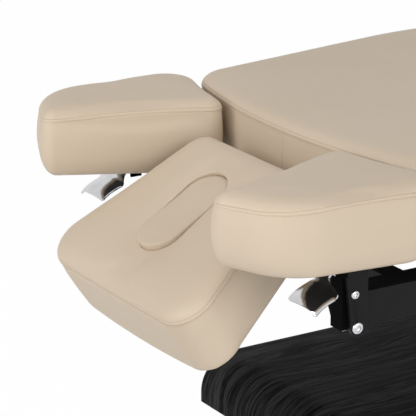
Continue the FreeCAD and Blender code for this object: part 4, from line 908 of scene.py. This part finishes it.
def make_waterfall_board():
    """The bent oak board: a flat rounded strip carried along the plinth's profile, which runs up one end,
    over both bends and down the other end. Its map holds the distance along and across the board."""
    end, bend, low, top, thick, half = 0.759, 0.065, 0.030, 0.114, 0.018, 0.255
    flat = end - bend
    quarter = np.linspace(0, np.pi / 2, 25)
    knee = top - bend
    upright = np.linspace(low, knee, 5)[:-1]
    level = np.linspace(-flat, flat, 60)[1:-1]
    head_path = np.vstack([np.column_stack([np.full(len(upright), -end), upright]),
                           np.column_stack([-flat - bend * np.cos(quarter), knee + bend * np.sin(quarter)])])
    middle = np.column_stack([level, np.full(len(level), top)])
    path = np.vstack([head_path, middle, head_path[::-1] * (-1, 1)])
    head_normal = np.vstack([np.tile([-1.0, 0.0], (len(upright), 1)),
                             np.column_stack([-np.cos(quarter), np.sin(quarter)])])
    normal = np.vstack([head_normal, np.tile([0.0, 1.0], (len(level), 1)), head_normal[::-1] * (-1, 1)])
    steps = np.linalg.norm(np.diff(path, axis=0), axis=1)
    along = np.concatenate([[0], np.cumsum(steps)]) - steps.sum() / 2
    edge, chamfer = 0.0025, 0.001
    arc = np.linspace(0, np.pi / 2, 5)
    corner = np.column_stack([half - edge + edge * np.sin(arc), -edge + edge * np.cos(arc)])
    under = np.array([(half, -thick + chamfer), (half - chamfer, -thick)])
    right_half = np.vstack([[(half * share, 0.0) for share in (0.0, 0.25, 0.5, 0.75)], corner, under,
                            [(half * share, -thick) for share in (0.75, 0.5, 0.25, 0.0)]])
    left_half = right_half[1:-1][::-1] * (-1, 1)
    strip = np.vstack([right_half, left_half])
    y, depth = strip[:, 0], strip[:, 1]
    rings = np.stack([path[:, :1] + normal[:, :1] * depth, np.broadcast_to(y, (len(path), len(y))),
                      path[:, 1:] + normal[:, 1:] * depth], axis=-1)
    board = closed_mesh("oak_waterfall_board", rings)
    lay = np.stack([np.broadcast_to(along[:, None], rings.shape[:2]),
                    np.broadcast_to(y, rings.shape[:2])], axis=-1)
    loops = np.zeros(len(board.data.loops), int)
    board.data.loops.foreach_get("vertex_index", loops)
    board.data.uv_layers.new(name="along_board").data.foreach_set("uv", lay.reshape(-1, 2)[loops].ravel())
    for x in COLUMNS:
        open_for_column(board, x)
    dress(board, OAK_BOARD, "base", "stained_oak", "plinth_top", "plinth_nose_head", "plinth_nose_foot")


def open_for_column(board, x):
    """Cuts the board where a lift column passes through it."""
    signs = np.array([(i, j, k) for i in (-1, 1) for j in (-1, 1) for k in (-1, 1)])
    faces = [(0, 1, 3, 2), (4, 6, 7, 5), (0, 4, 5, 1), (2, 3, 7, 6), (0, 2, 6, 4), (1, 5, 7, 3)]
    cutter = new_piece("column_cutter", signs * COLUMN_OPENING + (x, 0.0, COLUMN_OPENING_HEIGHT), faces)
    cut = board.modifiers.new("column_opening", "BOOLEAN")
    cut.operation = "DIFFERENCE"
    cut.solver = "EXACT"
    cut.object = cutter
    bpy.context.view_layer.update()
    evaluated = board.evaluated_get(bpy.context.evaluated_depsgraph_get())
    finished = bpy.data.meshes.new_from_object(evaluated)
    board.modifiers.remove(cut)
    board.data = finished
    bpy.data.objects.remove(cutter)


# Model nodes that stay as they are

def dress_model_nodes():
    """Gives every node of the model the finish of its slot, except the guides, lever brackets and pins, whose
    near-black paint is painted shade, and the pressed and welded ones soft edges.
    """
    slots = {entry["node"]: entry["material_slot"] for entry in frame["record"]["subparts"]}
    for name, node in frame["nodes"].items():
        node.data.materials.clear()
        kind = name.rpartition("_")[0]
        # Guides, lever brackets and pins take the darkened paint: painted shade in place of their own black.
        node.data.materials.append(SHADE_DARKENED_FINISH.get(kind, SLOT_FINISH[slots[name]]))
        if slots[name] in ("black_steel", "black_column"):
            joined = node.modifiers.new("joined_faces", "WELD")
            joined.merge_threshold = 0.00001
            bevel(node, "soft_edges", 0.0009, 2)


make_table()
make_headrest()
make_face_plug()
for side_word, side_sign in SIDES:
    make_armrest(side_word, side_sign)
    make_lever(side_word, side_sign)
    make_bolts(side_word, side_sign)
make_waterfall_board()
dress_model_nodes()


# Studio

FLOOR_WHITE = 0.985                         # share of plain white in the floor as seen
FILL_LIGHT = 0.36


def seen_share(tree):
    """One for rays from the camera, off a mirror or through glass, and nothing for all others."""
    rays = tree.nodes.new("ShaderNodeLightPath")
    seen = rays.outputs["Is Camera Ray"]
    for kind in ("Is Glossy Ray", "Is Transmission Ray"):
        largest = tree.nodes.new("ShaderNodeMath")
        largest.operation = "MAXIMUM"
        tree.links.new(seen, largest.inputs[0])
        tree.links.new(rays.outputs[kind], largest.inputs[1])
        seen = largest.outputs[0]
    return seen


def make_floor():
    """A pale floor that shows white to the camera and in reflections and keeps a soft shadow."""
    reach = 30.0
    corners = [(-reach, -reach, 0), (reach, -reach, 0), (reach, reach, 0), (-reach, reach, 0)]
    floor = new_piece("floor", corners, [(0, 1, 2, 3)])
    paint = Finish("pale_floor")
    paint.set(Base_Color=(0.86, 0.86, 0.86, 1.0), Roughness=0.9)
    glow = paint.node("ShaderNodeEmission")
    mix = paint.node("ShaderNodeMixShader")
    paint.wire(paint.maths("MULTIPLY", seen_share(paint.tree), FLOOR_WHITE), mix.inputs[0])
    paint.wire(paint.shader.outputs[0], mix.inputs[1])
    paint.wire(glow.outputs[0], mix.inputs[2])
    paint.wire(mix.outputs[0], paint.tree.nodes["Material Output"].inputs["Surface"])
    floor.data.materials.append(paint.material)


def make_world():
    """An even pale surround that is white to the camera and in reflections."""
    world = bpy.data.worlds.new("studio")
    world.use_nodes = True
    tree = world.node_tree
    fill, white = tree.nodes["Background"], tree.nodes.new("ShaderNodeBackground")
    mix = tree.nodes.new("ShaderNodeMixShader")
    tree.links.new(seen_share(tree), mix.inputs[0])
    for shade, strength, inlet in ((fill, FILL_LIGHT, mix.inputs[1]), (white, 1.0, mix.inputs[2])):
        shade.inputs["Color"].default_value = (1, 1, 1, 1)
        shade.inputs["Strength"].default_value = strength
        tree.links.new(shade.outputs[0], inlet)
    tree.links.new(mix.outputs[0], tree.nodes["World Output"].inputs["Surface"])
    scene.world = world


def aim(thing, target):
    """Points a lamp or a camera at a place."""
    away = np.asarray(target, float) - np.asarray(thing.location, float)
    lift = math.atan2(away[2], math.hypot(away[0], away[1]))
    heading = math.atan2(away[1], away[0])
    thing.rotation_euler = (math.pi / 2 + lift, 0.0, heading - math.pi / 2)


def make_lamp(name, location, target, size, power):
    """A square soft lamp."""
    lamp = bpy.data.lights.new(name, "AREA")
    lamp.shape = "SQUARE"
    lamp.size = size
    lamp.energy = power
    holder = bpy.data.objects.new(name, lamp)
    scene.collection.objects.link(holder)
    holder.location = location
    aim(holder, target)


def make_camera():
    """The photograph's view: from the head end and the right, a little above the pads."""
    camera = bpy.data.cameras.new("camera")
    camera.lens = 198.87
    camera.sensor_width = 36.0
    holder = bpy.data.objects.new("camera", camera)
    scene.collection.objects.link(holder)
    holder.location = (-2.7211, -2.9468, 1.5961)
    aim(holder, (-0.9011, 0.0, 0.48127))
    scene.camera = holder


make_floor()
make_world()
make_lamp("front_lamp", (-3.6, -2.2, 1.5), (-0.7, 0.0, 0.5), 2.4, 32.0)
make_lamp("side_lamp", (-0.4, -4.2, 1.8), (-0.5, 0.0, 0.5), 2.4, 78.0)
make_lamp("top_lamp", (0.2, 0.6, 3.6), (0.0, 0.0, 0.5), 3.0, 11.0)
make_lamp("head_lamp", (-3.4, 0.5, 2.0), (-0.75, 0.0, 0.5), 1.6, 34.0)
make_camera()
scene.view_settings.view_transform = "Standard"
